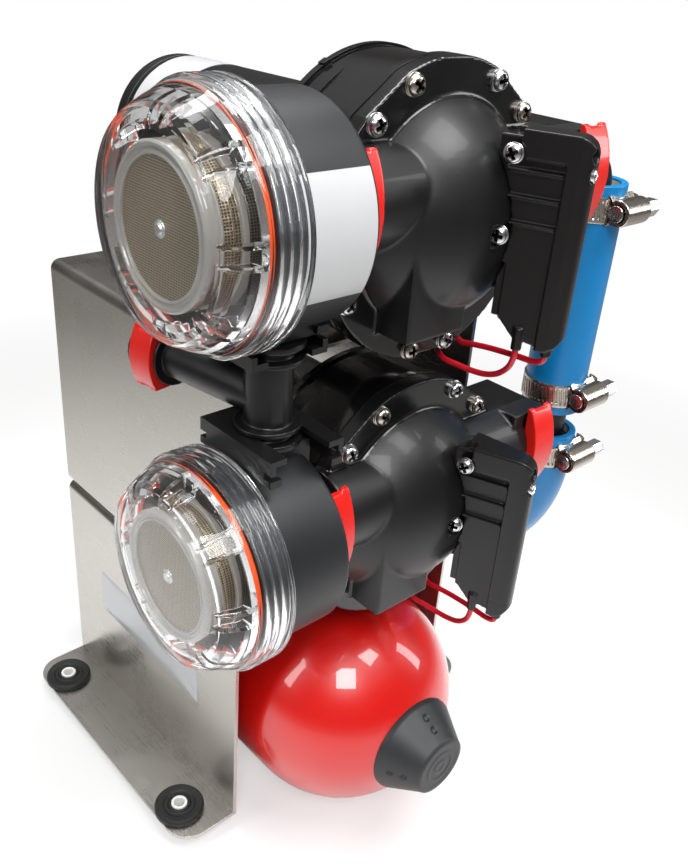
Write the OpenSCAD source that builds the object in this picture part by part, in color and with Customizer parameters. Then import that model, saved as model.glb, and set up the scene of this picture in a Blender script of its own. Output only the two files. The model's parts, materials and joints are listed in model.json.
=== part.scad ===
// Twin-pump pressurised water unit.
// Two pump heads with strainers stand on a bent steel stand, over an accumulator tank.
// Millimetres, +Z up, -Y is the front (pump heads and tank nose), +X is the outlet side with the blue hoses.
// The origin is the centre of the four floor bolt holes, on the plane that the rubber feet stand on.

/* [Stand] */
// Outside width across the two side plates
stand_w = 150; // [140:1:170]
// Depth of the side plates, front to back
stand_d = 165; // [150:1:180]
// Height of the lower bench's top face above the floor
lower_h = 133.4; // [131:0.1:140]
// Height that the upper bench adds, which is also the distance between the two pump axes
pitch = 133; // [132:0.5:145]
// Sheet thickness
sheet_t = 2; // [1.5:0.1:3]
// Outside radius of the sheet's bends
bend_r = 5; // [4:0.5:8]
// Width of each outward floor flange
floor_flange_w = 32.6; // [30:0.2:40]
// Corner radius of the floor flanges
flange_corner_r = 14; // [5:0.5:15]
// How far the upper bench's front edges stand behind the lower bench's
upper_set_back = 3; // [0:0.5:6]
// Width of the inward lip under the upper bench
lip_w = 26; // [22:1:34]
// Distance of the lip's bolts from the side plates
lip_bolt_in = 14; // [12:0.5:16]
// Distance of the lip's bolts from the plate ends
lip_bolt_end = 22; // [15:1:35]

/* [Feet] */
// Radius of the rubber feet
foot_r = 13; // [10:0.5:14]
// Radius of the feet under the flange
foot_low_r = 9.5; // [8:0.5:11]
// Height of each foot under the flange
foot_under = 6; // [4:0.5:9]
// Height of each foot above the flange
foot_over = 4; // [3:0.5:6]
// Radius of the foot's neck in the flange hole
foot_neck_r = 6.4; // [5.5:0.1:7.5]
// Distance of the feet from the flange's outer edge
foot_in = 12.3; // [12:0.1:14]
// Distance of the feet from the plate ends
foot_end = 20.6; // [14:0.2:30]
// Radius of the floor bolt hole through each sleeve
floor_hole_r = 2.75; // [2.2:0.05:3.2]
// Outside radius of the white sleeve
sleeve_r = 4.25; // [3.8:0.05:5]

/* [Pump mounting] */
// Height of the pump axis above the bench that carries it
pump_lift = 60.7; // [60.5:0.1:64]
// Half the spacing of the pump's mounting screws across the stand
mount_x = 30; // [26:1:32]
// Place of the front mounting screws
mount_front_y = 0; // [-10:1:5]
// Place of the rear mounting screws
mount_rear_y = 60; // [50:1:66]
// Radius of the rubber pads
pad_r = 8; // [6.5:0.5:9]
// Height of the bracket's base over the bench
pad_under = 4.5; // [3.5:0.5:6]
// Thickness of the motor bracket's base
bracket_t = 2; // [1.5:0.5:3]
// Radius of the mounting screws
mount_screw_r = 2; // [1.5:0.25:2.5]

/* [Motor] */
// Outside radius of the motor can
motor_r = 37.5; // [34:0.5:38.5]
// Wall of the motor can
motor_wall = 2; // [1.5:0.25:3]
// Place of the can's rear edge, where the end cap starts
can_rear_y = 70; // [68:1:80]
// Length of the end cap
end_cap_l = 10; // [9:0.5:16]
// Radius of the rounded edge of the end cap
end_cap_round = 4.5; // [2:0.5:5]
// Radius of the armature
armature_r = 29; // [24:0.5:31]
// Radius of the motor shaft
shaft_r = 4; // [3:0.25:5]
// Offset of the eccentric from the shaft
eccentric_off = 1.5; // [0.5:0.25:2]

/* [Pump head] */
// Radius of the head's flange
head_r = 60; // [59.5:0.1:60]
// Place of the flange's front face
head_front_y = -112; // [-114:0.5:-111]
// Thickness of the cover's flange
cover_flange_t = 8; // [6:0.5:9]
// Place of the drive housing's rear face
drum_rear_y = -67; // [-69:0.5:-66]
// Radius of the drive housing behind its flange
drum_r = 58.5; // [57.5:0.1:59]
// Inside radius of the drive housing
drum_bore_r = 50; // [48:0.5:51]
// Distance of the drive housing's flats from the axis
drum_flat = 57.7; // [57.5:0.1:58]
// Radius at the foot of the dome
dome_base_r = 46; // [44:0.5:47]
// Height of the dome
dome_h = 29; // [27:0.5:31]
// Wall of the dome
dome_wall = 3; // [2:0.5:4]
// Radius of the screw circle
screw_circle_r = 55.7; // [55:0.1:56]
// Half the angle between the two screws of a pair
screw_pair_half = 11.2; // [10:0.2:13]
// Angle of the first pair of screws
screw_pair_first = 54; // [50:1:58]
// Radius of the screw heads
screw_head_r = 4; // [3.5:0.1:4.2]
// Width, length and height of the lug on the drive housing's rim
lug_w = 3.6; // [3:0.2:6]
lug_l = 3.6; // [3:0.2:6]
lug_up = 1.8; // [1.2:0.1:2.5]
// Width of the wedge under the dome
wedge_w = 33; // [28:1:36]
// Depth of the wedge in front of the flange
wedge_d = 18; // [15:0.5:19]
// Distance of the wedge's base under the pump axis
wedge_low = 42.5; // [40:0.5:46]

/* [Ports] */
// Height of the port axes above the pump axis
port_up = 12; // [10:0.5:14]
// Place of the port axes in front of the origin
port_y = -110; // [-112:0.5:-108]
// Radius of the port stubs on the head
stub_r = 20; // [18:0.5:21]
// Distance of the inlet stub's end from the pump axis
inlet_end = 54; // [52:0.5:56]
// Distance of the outlet stub's end from the pump axis
outlet_end = 64.8; // [63:0.1:66]
// Radius of the collar that the clip grips
collar_r = 15.6; // [14:0.1:16]
// Width of the clips along the port
clip_w = 15; // [13.5:0.1:15]
// Gap between the strainer body and the inlet clip's seat
strainer_gap = 1; // [0.8:0.1:2.4]
// Half the height of the square housing round the outlet clip
hood_half = 19.6; // [19.4:0.1:20]
// Radius of the spigots in the collar
spigot_r = 12.5; // [11:0.1:13]
// Radius of the waterway
water_r = 9; // [7:0.5:10]

/* [Clips] */
// Half the height of a clip's crown
clip_half = 22; // [20:0.5:23]
// Distance of the crown's front from the port axis
clip_crown = 24.1; // [23:0.1:26]
// Radius of the crown's bulging front
clip_bulge_r = 42; // [36:1:60]
// Length of the clip's arms behind the port axis
clip_arm = 14; // [10:0.5:16]
// Width of the clip's arms
clip_arm_w = 8; // [6.5:0.1:8]
// Thickness of the clip's arms
clip_t = 2.1; // [1.8:0.1:2.1]

/* [Strainer] */
// Outside radius of the strainer body
strainer_r = 40; // [38:0.5:40.5]
// Length of the strainer body behind its thread
strainer_body_l = 32; // [28:0.5:36]
// Length of the thread
thread_l = 11; // [9:0.5:13]
// Radius of the thread
thread_r = 41.4; // [41:0.1:41.6]
// Inside radius of the strainer body
bowl_r = 36.5; // [35.5:0.25:37]
// Radius of the cover's skirt
skirt_r = 44.8; // [44:0.1:46]
// Number of ridges round the skirt
ridge_count = 4; // [3:1:5]
// Distance between the ridges
ridge_pitch = 3.5; // [3:0.1:3.8]
// Length of the cover in front of the seal
nose_l = 13.7; // [12:0.1:18]
// Radius of the cover's front face
face_r = 36.5; // [35:0.5:38]
// Thickness of the cover's front
face_t = 3.5; // [2.5:0.25:4.5]
// Radius of the basket at its front
basket_front_r = 26; // [24:0.5:27]
// Radius of the basket at its rear
basket_rear_r = 31; // [29:0.5:33]
// Thickness of the basket's wall
basket_wall = 0.8; // [0.6:0.1:1.2]
// Number of spacer lugs inside the cover
lug_count = 8; // [6:1:10]
// Section radius of the seal ring
seal_r = 1.6; // [1.2:0.1:1.8]

/* [Inlet tee] */
// Distance of the tee's upright tube from the middle of the stand
tee_x = 82.7; // [82:0.1:83.5]
// Radius of the tee's tubes
tee_r = 9.3; // [8.5:0.1:9.5]
// Radius of the tee's flanges
tee_flange_r = 13.2; // [12:0.2:13.6]
// Distance of the branch under the middle between the two ports
branch_low = 3.1; // [0:0.1:5]
// Angle of the branch away from the stand
branch_angle = 9; // [7:0.5:14]
// Length of the branch to the middle of its clip
branch_l = 57; // [54:1:64]
// Outside radius of the branch clip
branch_clip_r = 14.2; // [13.8:0.1:15]
// Width of a port saddle
saddle_w = 34.6; // [33:0.2:36]
// Length of a port saddle
saddle_l = 44; // [42:1:46]
// Height of a port saddle
saddle_h = 11; // [10:0.1:11.1]
// Thickness of a port saddle's walls
saddle_t = 2.4; // [2:0.1:2.8]
// Height of a port saddle's top above the strainer axis
saddle_top = 51.4; // [51:0.1:53]

/* [Hoses] */
// Distance of the hoses from the middle of the stand
hose_x = 109; // [107:0.5:114]
// Outside radius of the hoses
hose_r = 15.7; // [15:0.1:16.5]
// Wall of the hoses
hose_wall = 3.6; // [3:0.1:4.5]
// Distance of the upper hose's top under the upper port axis
hose_end_gap = 8.4; // [8.3:0.1:12]
// Half the gap between the hose ends at the tee
tee_gap = 6.8; // [6.6:0.1:8]
// Radius of the tee's branch between the hose ends
tee_neck_r = 6.3; // [5.5:0.1:6.5]
// Radius of the elbow's tube
elbow_r = 8; // [7.5:0.1:8.2]
// Radius of the lower hose's bend at the bottom
hose_bend_r = 75; // [70:1:80]
// Radius of the lower hose's bend behind the stand
hose_turn_r = 55; // [50:1:58]
// Height at which the lower hose starts to bend
hose_bend_z = 180; // [178:0.5:184]
// Slope of the lower hose beside the stand
hose_slope = 30; // [26:1:40]
// Height of the lower hose's level run
hose_run_z = 71; // [68:0.5:76]
// Place of the tank's outlet tee behind the origin
tank_tee_y = 108; // [107:0.5:112]
// Distance from each hose end to the middle of its clamp
clamp_in = 11; // [9:0.5:14]
// Width of the clamp bands
band_w = 12; // [9:0.5:13]
// Thickness of the clamp bands
band_t = 0.9; // [0.6:0.1:1.2]

/* [Tank] */
// Outside radius of the tank
tank_r = 59.4; // [56:0.1:60]
// Gap between the tank's top and the underside of the lower bench
tank_gap = 11.2; // [8:0.1:14]
// Distance of the tank's axis to the left of the middle of the stand
tank_left = 4; // [0:0.5:6]
// Place of the centre of the tank's front dome
tank_front_y = -84.5; // [-90:0.5:-82]
// Place of the centre of the tank's rear dome
tank_rear_y = 0; // [-10:1:5]
// Wall of the tank
tank_wall = 1.2; // [1:0.1:2]
// Width of the strap that holds the tank
strap_w = 32; // [24:1:40]
// Place of the strap's middle
strap_y = -40; // [-50:1:-30]
// Length of the valve cap
cap_l = 21; // [18:1:24]
// Radius of the valve cap where it meets the tank
cap_base_r = 26; // [24:0.5:28]
// Radius of the valve cap's front face
cap_front_r = 16; // [14:0.5:18]
// Radius of the plain tail that the system's pipe goes onto
outlet_tail_r = 10; // [8:0.5:11]
// Distance of that tail's end from the tank's axis
outlet_tail = 48; // [40:1:56]

/* [Pressure switch] */
// Angle of the switch to the pump axis
switch_angle = 21.6; // [20:0.2:24]
// Distance of the switch's broad face from the pump axis
switch_side = 48; // [47:0.5:49]
// Thickness of the switch at its front
switch_front_t = 9; // [8:0.5:11]
// Thickness of the switch at its back
switch_back_t = 17; // [15:0.5:17.5]
// Place of the switch's front face
switch_front = 161.5; // [160:0.5:163]
// Place of the switch's back face
switch_back = 125; // [124:0.5:126]
// Height of the switch's top above the pump axis
switch_top = 39; // [38:0.5:41]
// Distance of the switch's seam under the pump axis
switch_seam = 35; // [33:0.5:37]
// Height of the switch's bottom cap
switch_cap_h = 9; // [7:0.5:10]
// Depth of the recess in the switch's broad face
panel_deep = 3.5; // [3:0.1:3.5]
// Width of the raised column along the switch's front
column_w = 10; // [9:0.5:12]
// Height of the raised block at the switch's top
block_h = 10.5; // [9:0.5:12]
// Spacing of the ribs in the recess
rib_pitch = 9.9; // [8:0.1:10]
// Length of the ribs
rib_l = 22; // [18:0.5:22]
// Radius of the adjusting screw
adjuster_r = 2.6; // [2:0.1:3]
// Height of the adjusting screw above the pump axis
adjuster_up = 25.5; // [24:0.5:28]
// Radius of the red leads
lead_r = 1.3; // [1:0.1:1.6]

/* [Fits] */
// Clearance between turning shafts and their bores
run_gap = 0.08; // [0.03:0.01:0.1]
// Clearance between pieces that slide or lift off
slide_gap = 0.3; // [0.2:0.05:0.5]
// Clearance between curved pieces that are fastened together
seat_gap = 0.1; // [0.05:0.05:0.2]

/* [Hidden] */
$fn = 64;

big = 400;
eps = 0.01;
half_w = stand_w / 2;
half_d = stand_d / 2;
flange_out = half_w + floor_flange_w;
foot_x = flange_out - foot_in;
foot_y = half_d - foot_end;
lower_axis = lower_h + pump_lift;
lower_port = lower_axis + port_up;
upper_port = lower_port + pitch;
flange_rear_y = head_front_y + cover_flange_t;
cover_flat = screw_circle_r * cos(screw_pair_half) + screw_head_r + 0.1;
dome_r = (dome_base_r * dome_base_r + dome_h * dome_h) / (2 * dome_h);
dome_y = head_front_y - dome_h + dome_r;
facet_rear_y = drum_rear_y - 12;
clip_play = 0.3;
panel_ribs = 3;
panel_y = -switch_front + column_w;
screw_pairs = 5;
drum_clear = head_r + 0.8;
valve_boss_r = 11;
valve_stem_r = 4;
tank_stub_r = 10.5;
barb_r = hose_r - hose_wall - 0.3;
tank_z = lower_h - sheet_t - tank_gap - tank_r;
inlet_collar = inlet_end + clip_w + 2 * clip_play;
outlet_collar = outlet_end + clip_w + 2 * clip_play;
strainer_rear_x = -inlet_collar - strainer_gap;
thread_rear_x = strainer_rear_x - strainer_body_l;
thread_front_x = thread_rear_x - thread_l;
seal_x = thread_front_x - seal_r;
shoulder_x = thread_front_x - 2 * seal_r - 0.1;
face_x = shoulder_x - nose_l;
skirt_rear_x = thread_rear_x + 0.8;
basket_front_x = face_x + face_t + 0.5;
basket_rear_x = strainer_rear_x - 3.3;
tee_flange_t = 2.6;
hidden_flange = saddle_top - saddle_t - 1;
lower_saddle_y = -112.5;
upper_saddle_y = -100;
branch_collar_r = 10.2;
branch_clip_w = 12;
hose_top_z = upper_port - hose_end_gap;
hose_low_top_z = lower_port - tee_gap;
hose_fall = (hose_bend_z - hose_run_z - hose_bend_r) / sin(hose_slope);
hose_level_y = port_y + hose_bend_r + hose_fall * cos(hose_slope);
hose_turn_y = tank_tee_y - hose_turn_r;
hose_end_x = 24;
band_r = hose_r + band_t;
screw_r = 4;
worm_r = 6.4;
worm_out = band_r + 3.3;
worm_x = -8;
worm_l = 21;
cap_base_y = tank_front_y - sqrt(tank_r * tank_r - cap_base_r * cap_base_r) - 0.2;

// Solid rods along the three axes
module rod_x(x0, x1, r) translate([x0, 0, 0]) rotate([0, 90, 0]) cylinder(h = x1 - x0, r = r);
module rod_y(y0, y1, r) translate([0, y0, 0]) rotate([-90, 0, 0]) cylinder(h = y1 - y0, r = r);
module rod_z(z0, z1, r) translate([0, 0, z0]) cylinder(h = z1 - z0, r = r);

// Profiles turned about the X and Y axes: the profile's first axis is the radius
module turn_x() rotate([0, 90, 0]) rotate_extrude() children();
module turn_y() rotate([-90, 0, 0]) rotate_extrude() children();

// A profile in X and Z drawn out along Y, and one in Y and Z drawn out along X
module draw_y(y0, y1) translate([0, y1, 0]) rotate([90, 0, 0]) linear_extrude(y1 - y0) children();
module draw_x(x0, x1) translate([x0, 0, 0]) rotate([90, 0, 90]) linear_extrude(x1 - x0) children();

// A rectangle with round corners, from its lower left corner
module round_rect(w, h, r) {
    translate([r, 0]) square([w - 2 * r, h]);
    translate([0, r]) square([w, h - 2 * r]);
    for (x = [r, w - r], y = [r, h - r]) translate([x, y]) circle(r);
}

// Copies for the lower pump at level 0 and the upper pump at level 1
module on_level(level) translate([0, 0, lower_axis + level * pitch]) children();

// Places of the head screws round the pump axis
module at_head_screws() {
    for (k = [0 : screw_pairs - 1], side = [-1, 1])
        rotate([0, -(screw_pair_first + k * 360 / screw_pairs + side * screw_pair_half), 0])
            translate([screw_circle_r, 0, 0]) children();
}

// Mounting screw places on a bench
module at_mounts() {
    for (x = [-mount_x, mount_x], y = [mount_front_y, mount_rear_y]) translate([x, y, 0]) children();
}

module at_lip_bolts() {
    for (x = [-1, 1], y = [-1, 1])
        translate([x * (half_w - lip_bolt_in), y * (half_d - lip_bolt_end), 0]) children();
}

module at_feet() {
    for (x = [-foot_x, foot_x], y = [-foot_y, foot_y]) translate([x, y, 0]) children();
}

// Lower bench: an upside-down channel with floor flanges
module lower_bench() {
    color([0.75, 0.74, 0.71]) difference() {
        union() {
            draw_y(-half_d, half_d) difference() {
                translate([-half_w, foot_under - 20]) round_rect(stand_w, lower_h - foot_under + 20, bend_r);
                translate([-half_w + sheet_t, foot_under - 22])
                    round_rect(stand_w - 2 * sheet_t, lower_h - sheet_t - foot_under + 22, bend_r - sheet_t);
                translate([-big / 2, -big]) square([big, big + foot_under]);
            }
            for (side = [-1, 1]) scale_side(side) floor_flange();
        }
        at_feet() rod_z(0, 20, foot_neck_r + seat_gap);
        at_lip_bolts() rod_z(lower_h - 10, lower_h + 1, mount_screw_r + 0.5 + seat_gap);
        at_mounts() rod_z(lower_h - 10, lower_h + 1, mount_screw_r + seat_gap);
        at_strap_bolts() rod_z(lower_h - 10, lower_h + 1, mount_screw_r + seat_gap);
    }
}

module scale_side(side) mirror([side < 0 ? 1 : 0, 0, 0]) children();

module floor_flange() {
    translate([0, 0, foot_under]) linear_extrude(sheet_t) difference() {
        translate([half_w - sheet_t, -half_d]) square([floor_flange_w + sheet_t, stand_d]);
        for (y = [-1, 1]) scale_corner(y) difference() {
            translate([flange_out - flange_corner_r, half_d - flange_corner_r])
                square(flange_corner_r + 1);
            translate([flange_out - flange_corner_r, half_d - flange_corner_r]) circle(flange_corner_r);
        }
    }
}

module scale_corner(y) mirror([0, y < 0 ? 1 : 0]) children();

// Upper bench: a box section whose underside is open between two inward lips
module upper_bench() {
    color([0.75, 0.74, 0.71]) difference() {
        translate([0, 0, lower_h]) draw_y(-half_d + upper_set_back, half_d) difference() {
            translate([-half_w, 0]) round_rect(stand_w, pitch, bend_r);
            translate([-half_w + sheet_t, sheet_t])
                round_rect(stand_w - 2 * sheet_t, pitch - 2 * sheet_t, bend_r - sheet_t);
            translate([-half_w + lip_w, -1]) square([stand_w - 2 * lip_w, sheet_t + 2]);
        }
        at_lip_bolts() rod_z(lower_h - 1, lower_h + 10, mount_screw_r + 0.5 + seat_gap);
        at_mounts() rod_z(lower_h + pitch - 10, lower_h + pitch + 1, mount_screw_r + seat_gap);
        // Arc cut in the left front edge that clears the back of the lower strainer
        translate([0, port_y, lower_port]) rod_x(-half_w - 1, -half_w + 10, strainer_r + 1);
    }
}

// A pan-head screw with a nut, standing on z = 0 with its nut under the depth given
module screw_and_nut(r, grip) {
    rod_z(-grip - 5, 0.1, r);
    rod_z(0, 2.6, r * 2);
    translate([0, 0, -grip - 3.4]) cylinder(h = 3.4, r = r * 1.9, $fn = 6);
}

module at_strap_bolts() {
    for (x = [-31, 31], y = [-10, 10]) translate([x - tank_left, strap_y + y, 0]) children();
}

// Every screw of the stand: bench bolts, pump mounting screws and the tank cradle's screws
module frame_screws() {
    color([0.8, 0.8, 0.82]) {
        at_lip_bolts() translate([0, 0, lower_h + sheet_t]) screw_and_nut(mount_screw_r + 0.5, 2 * sheet_t);
        for (level = [0, 1]) at_mounts()
            translate([0, 0, lower_h + level * pitch + pad_under + bracket_t + 3])
                screw_and_nut(mount_screw_r, pad_under + bracket_t + 3 + sheet_t);
        at_strap_bolts() translate([0, 0, lower_h]) screw_and_nut(mount_screw_r, 2 * sheet_t);
    }
}

module rubber_feet() {
    color([0.06, 0.06, 0.06]) at_feet() difference() {
        union() {
            cylinder(h = foot_under, r1 = foot_low_r - 1, r2 = foot_low_r + 1);
            rod_z(0, foot_under + sheet_t + 1, foot_neck_r);
            translate([0, 0, foot_under + sheet_t]) rotate_extrude() {
                square([foot_r - 1.5, foot_over]);
                square([foot_r, foot_over - 1.5]);
                translate([foot_r - 1.5, foot_over - 1.5]) circle(1.5);
            }
        }
        rod_z(-1, 20, sleeve_r + seat_gap);
    }
}

module foot_sleeves() {
    color([0.92, 0.92, 0.9]) at_feet() difference() {
        rod_z(0, foot_under + sheet_t + foot_over + 0.4, sleeve_r);
        rod_z(-1, 20, floor_hole_r);
    }
}

// Tank: a can with two round ends, an air valve in front and a water stub behind
module tank_shell() {
    color([0.85, 0.08, 0.05]) translate([-tank_left, 0, tank_z]) difference() {
        union() {
            rod_y(tank_front_y, tank_rear_y, tank_r);
            for (y = [tank_front_y, tank_rear_y]) translate([0, y, 0]) sphere(tank_r);
            rod_y(cap_base_y - 9, tank_front_y, valve_boss_r);
            rod_y(cap_base_y - 15, tank_front_y, valve_stem_r);
            rod_y(tank_rear_y, tank_tee_y - 18, tank_stub_r);
        }
        rod_y(tank_front_y, tank_rear_y, tank_r - tank_wall);
        for (y = [tank_front_y, tank_rear_y]) translate([0, y, 0]) sphere(tank_r - tank_wall);
        rod_y(tank_rear_y, tank_tee_y, 6);
    }
}

// The black cone over the air valve: it pulls off forwards
module tank_valve_cap() {
    color([0.15, 0.16, 0.17]) translate([-tank_left, 0, tank_z]) difference() {
        turn_y() polygon([
            [0, cap_base_y - cap_l], [cap_front_r - 1.5, cap_base_y - cap_l],
            [cap_front_r, cap_base_y - cap_l + 1.5],
            [cap_base_r - 0.6, cap_base_y - 3], [cap_base_r, cap_base_y],
            [cap_base_r, cap_base_y + 6], [0, cap_base_y + 6]
        ]);
        translate([0, tank_front_y, 0]) sphere(tank_r + slide_gap);
        rod_y(cap_base_y - 9.5, cap_base_y + 7, valve_boss_r + slide_gap);
        rod_y(cap_base_y - 16, cap_base_y, valve_stem_r + slide_gap);
        // Pairs of thumb dimples round the cone
        for (a = [0 : 90 : 270], y = [8, 14]) rotate([0, a, 0])
            translate([0, cap_base_y - y, 0]) rod_x(cap_base_r - 1.2 - y * 0.5, cap_base_r + 3, 1.6);
    }
}

// Steel saddle welded to the tank's top and screwed under the lower bench
module tank_cradle() {
    gap = tank_r + seat_gap;
    top = lower_h - sheet_t - tank_z;
    color([0.7, 0.7, 0.69]) difference() {
        translate([-tank_left, 0, tank_z]) draw_y(strap_y - strap_w / 2, strap_y + strap_w / 2) difference() {
            union() {
                intersection() {
                    circle(gap + sheet_t);
                    translate([-big / 2, 22]) square(big);
                }
                for (side = [-1, 1]) scale_side(side) {
                    translate([20, 0]) square([sheet_t, top]);
                    translate([20, top - sheet_t]) square([21, sheet_t]);
                }
            }
            circle(gap);
        }
        at_strap_bolts() rod_z(lower_h - 10, lower_h + 1, mount_screw_r + seat_gap);
    }
}

// Outlet tee behind the tank: the lower hose comes in from the right, the system's pipe leaves to the left
module tank_tee() {
    color([0.1, 0.1, 0.1]) translate([-tank_left, tank_tee_y, 0]) difference() {
        union() {
            translate([0, -tank_tee_y, tank_z]) rod_y(tank_rear_y + tank_r + 6, tank_tee_y, 14);
            rod_z(tank_z - 14, hose_run_z + 12, 14);
            translate([0, 0, hose_run_z]) {
                rod_x(-outlet_tail, 0, outlet_tail_r);
                rod_x(0, hose_end_x + tank_left + 18, tee_r);
                rod_x(-22, hose_end_x + tank_left - 0.3, barb_r);
                for (x = [hose_end_x + tank_left + 4, hose_end_x + tank_left + 11]) barb_x(x);
            }
        }
        translate([0, -tank_tee_y, tank_z]) rod_y(tank_rear_y, tank_tee_y, tank_stub_r + seat_gap);
        rod_z(tank_z - 6, hose_run_z, 7);
        translate([0, 0, hose_run_z]) rod_x(-60, 60, 6.5);
    }
}

// A hose barb that grows away from the hose's end
module barb_x(x) translate([x, 0, 0]) rotate([0, 90, 0]) cylinder(h = 4, r1 = barb_r, r2 = tee_r + 1);

// Horseshoe clip in its own frame: the port runs along X, the crown is up, the arms point down
module clip_shape(w, arm_w, inner, half, crown, bulge, arm, t) {
    bore = inner + slide_gap;
    color([0.9, 0.12, 0.08]) difference() {
        union() {
            draw_x(-w / 2, w / 2) intersection() {
                translate([0, crown - bulge]) circle(bulge);
                translate([-half, bore]) square([2 * half, crown]);
            }
            draw_x(w / 2 - arm_w, w / 2) difference() {
                translate([-bore - t, -arm]) square([2 * (bore + t), arm + bore + 0.5]);
                circle(bore);
                translate([-bore, -arm - 1]) square([2 * bore, arm + 1]);
            }
        }
        // Thumb grooves in the two ends of the crown
        for (side = [-1, 1]) translate([-w / 2 + 3.5, side * half - 1.2, bore]) cube([w - 7, 2.4, crown]);
        // The arms taper to their tips as seen along the port's side
        for (side = [-1, 1]) scale_side(side) draw_y(-half - 1, half + 1)
            polygon([[w / 2 + 1, 4], [w / 2, 4], [w / 2 - 3, -arm - 1], [w / 2 + 1, -arm - 1]]);
    }
}

module inlet_clip() mirror([1, 0, 0])
    translate([inlet_end + clip_play + clip_w / 2, port_y, port_up]) port_clip();
module outlet_clip() translate([outlet_end + clip_play + clip_w / 2, port_y, port_up]) port_clip();

// Clip with its crown to the front: it pulls off forwards
module port_clip() rotate([90, 0, 0])
    clip_shape(clip_w, clip_arm_w, collar_r, clip_half, clip_crown, clip_bulge_r, clip_arm, clip_t);

// Branch frame: origin on the tee's upright axis, Y along the branch
module on_branch() {
    translate([-tee_x, port_y, lower_port + pitch / 2 - branch_low]) rotate([0, 0, branch_angle]) children();
}

module tee_clip() {
    on_branch() translate([0, branch_l, 0]) rotate([0, -90, 0]) rotate([0, 0, 90])
        clip_shape(branch_clip_w, branch_clip_w, branch_collar_r, 12.6, branch_clip_r, 24, 9, 2.6);
}

// Inlet tee between the two strainers, with the branch that takes the supply
module inlet_tee() {
    low = lower_port + hidden_flange - tee_flange_t;
    high = upper_port - hidden_flange + tee_flange_t;
    collar = branch_clip_w / 2 + clip_play;
    color([0.12, 0.12, 0.13]) difference() {
        union() {
            translate([-tee_x, port_y, 0]) {
                rod_z(low, high, tee_r);
                rod_z(low, low + tee_flange_t, tee_flange_r);
                rod_z(high - tee_flange_t, high, tee_flange_r);
                translate([0, 0, lower_port + saddle_top + slide_gap]) cylinder(h = 2, r = tee_flange_r);
                translate([0, 0, upper_port - saddle_top - slide_gap - 2]) cylinder(h = 2, r = tee_flange_r);
            }
            on_branch() {
                rod_y(0, branch_l, tee_r - 0.3);
                rod_y(branch_l - collar - 1, branch_l + collar + 1, branch_collar_r);
                rod_y(branch_l - collar - 1.5, branch_l - collar, branch_collar_r + 2.4);
                rod_y(branch_l + collar, branch_l + collar + 2.5, branch_collar_r + 2.4);
            }
        }
        translate([-tee_x, port_y, 0]) rod_z(low - 1, high + 1, 7);
        on_branch() {
            rod_y(0, branch_l + 20, 6.5);
            rod_y(branch_l - collar, branch_l + 20, 8);
        }
    }
}

// Port saddle in its own frame: a snap fork over a strainer port, top plate up, open end towards -Y
module port_saddle_shape(slot_y) {
    wall_z = saddle_top - saddle_h;
    slot = tee_r + 0.7;
    color([0.1, 0.1, 0.1]) {
        difference() {
            translate([-saddle_w / 2, -saddle_l / 2, wall_z]) cube([saddle_w, saddle_l, saddle_h]);
            translate([-saddle_w / 2 + saddle_t, -saddle_l, wall_z - 1])
                cube([saddle_w - 2 * saddle_t, 2 * saddle_l, saddle_h - saddle_t + 1]);
            translate([0, slot_y, wall_z]) {
                rod_z(0, 20, slot);
                translate([-slot, -saddle_l, 0]) cube([2 * slot, saddle_l, 20]);
            }
            // Notches in the wall ends that make the snap hooks
            for (y = [-saddle_l / 2 - 1, saddle_l / 2 - 4]) translate([-saddle_w / 2 - 1, y, wall_z + 3])
                cube([saddle_w + 2, 5, 2.6]);
        }
        // Inward hooks at the open end
        for (side = [-1, 1]) scale_side(side) translate([saddle_w / 2 - saddle_t - 3, -saddle_l / 2, wall_z])
            cube([3.2, 2.6, 2.9]);
    }
}

module lower_port_saddle() {
    translate([-tee_x, lower_saddle_y, lower_port]) port_saddle_shape(port_y - lower_saddle_y);
}

module upper_port_saddle() {
    translate([-tee_x, upper_saddle_y, upper_port]) mirror([0, 0, 1])
        port_saddle_shape(port_y - upper_saddle_y);
}

// Strainer body: a cup with its mouth to the left; side is 1 with the inlet on top and -1 underneath
module strainer_body(side) {
    color([0.17, 0.17, 0.18]) translate([0, port_y, port_up]) difference() {
        union() {
            turn_x() polygon([
                [0, thread_front_x], [thread_r, thread_front_x], [thread_r, thread_rear_x],
                [strainer_r, thread_rear_x], [strainer_r, strainer_rear_x - 2.5],
                [strainer_r - 0.8, strainer_rear_x - 0.8], [strainer_r - 2.5, strainer_rear_x],
                [0, strainer_rear_x]
            ]);
            rod_x(strainer_rear_x - 1, -inlet_collar - clip_play, collar_r);
            rod_x(strainer_rear_x - 1, -drum_clear, spigot_r);
            mirror([0, 0, side < 0 ? 1 : 0]) strainer_inlet();
        }
        rod_x(thread_front_x - 1, strainer_rear_x - 3, bowl_r);
        rod_x(strainer_rear_x - 10, -drum_clear + 1, water_r);
        mirror([0, 0, side < 0 ? 1 : 0]) translate([-tee_x, 0, 0]) rod_z(20, 80, 7);
    }
}

// Inlet pad on the strainer body, which the port saddle straddles
module strainer_inlet() {
    pad_w = saddle_w - 2 * saddle_t - 2 * slide_gap;
    pad_top = hidden_flange - tee_flange_t - slide_gap;
    front = 8.7;
    translate([-tee_x - pad_w / 2, -front, strainer_r - 6])
        cube([pad_w, pad_w / 2 + front, pad_top - strainer_r + 6]);
}

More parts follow.
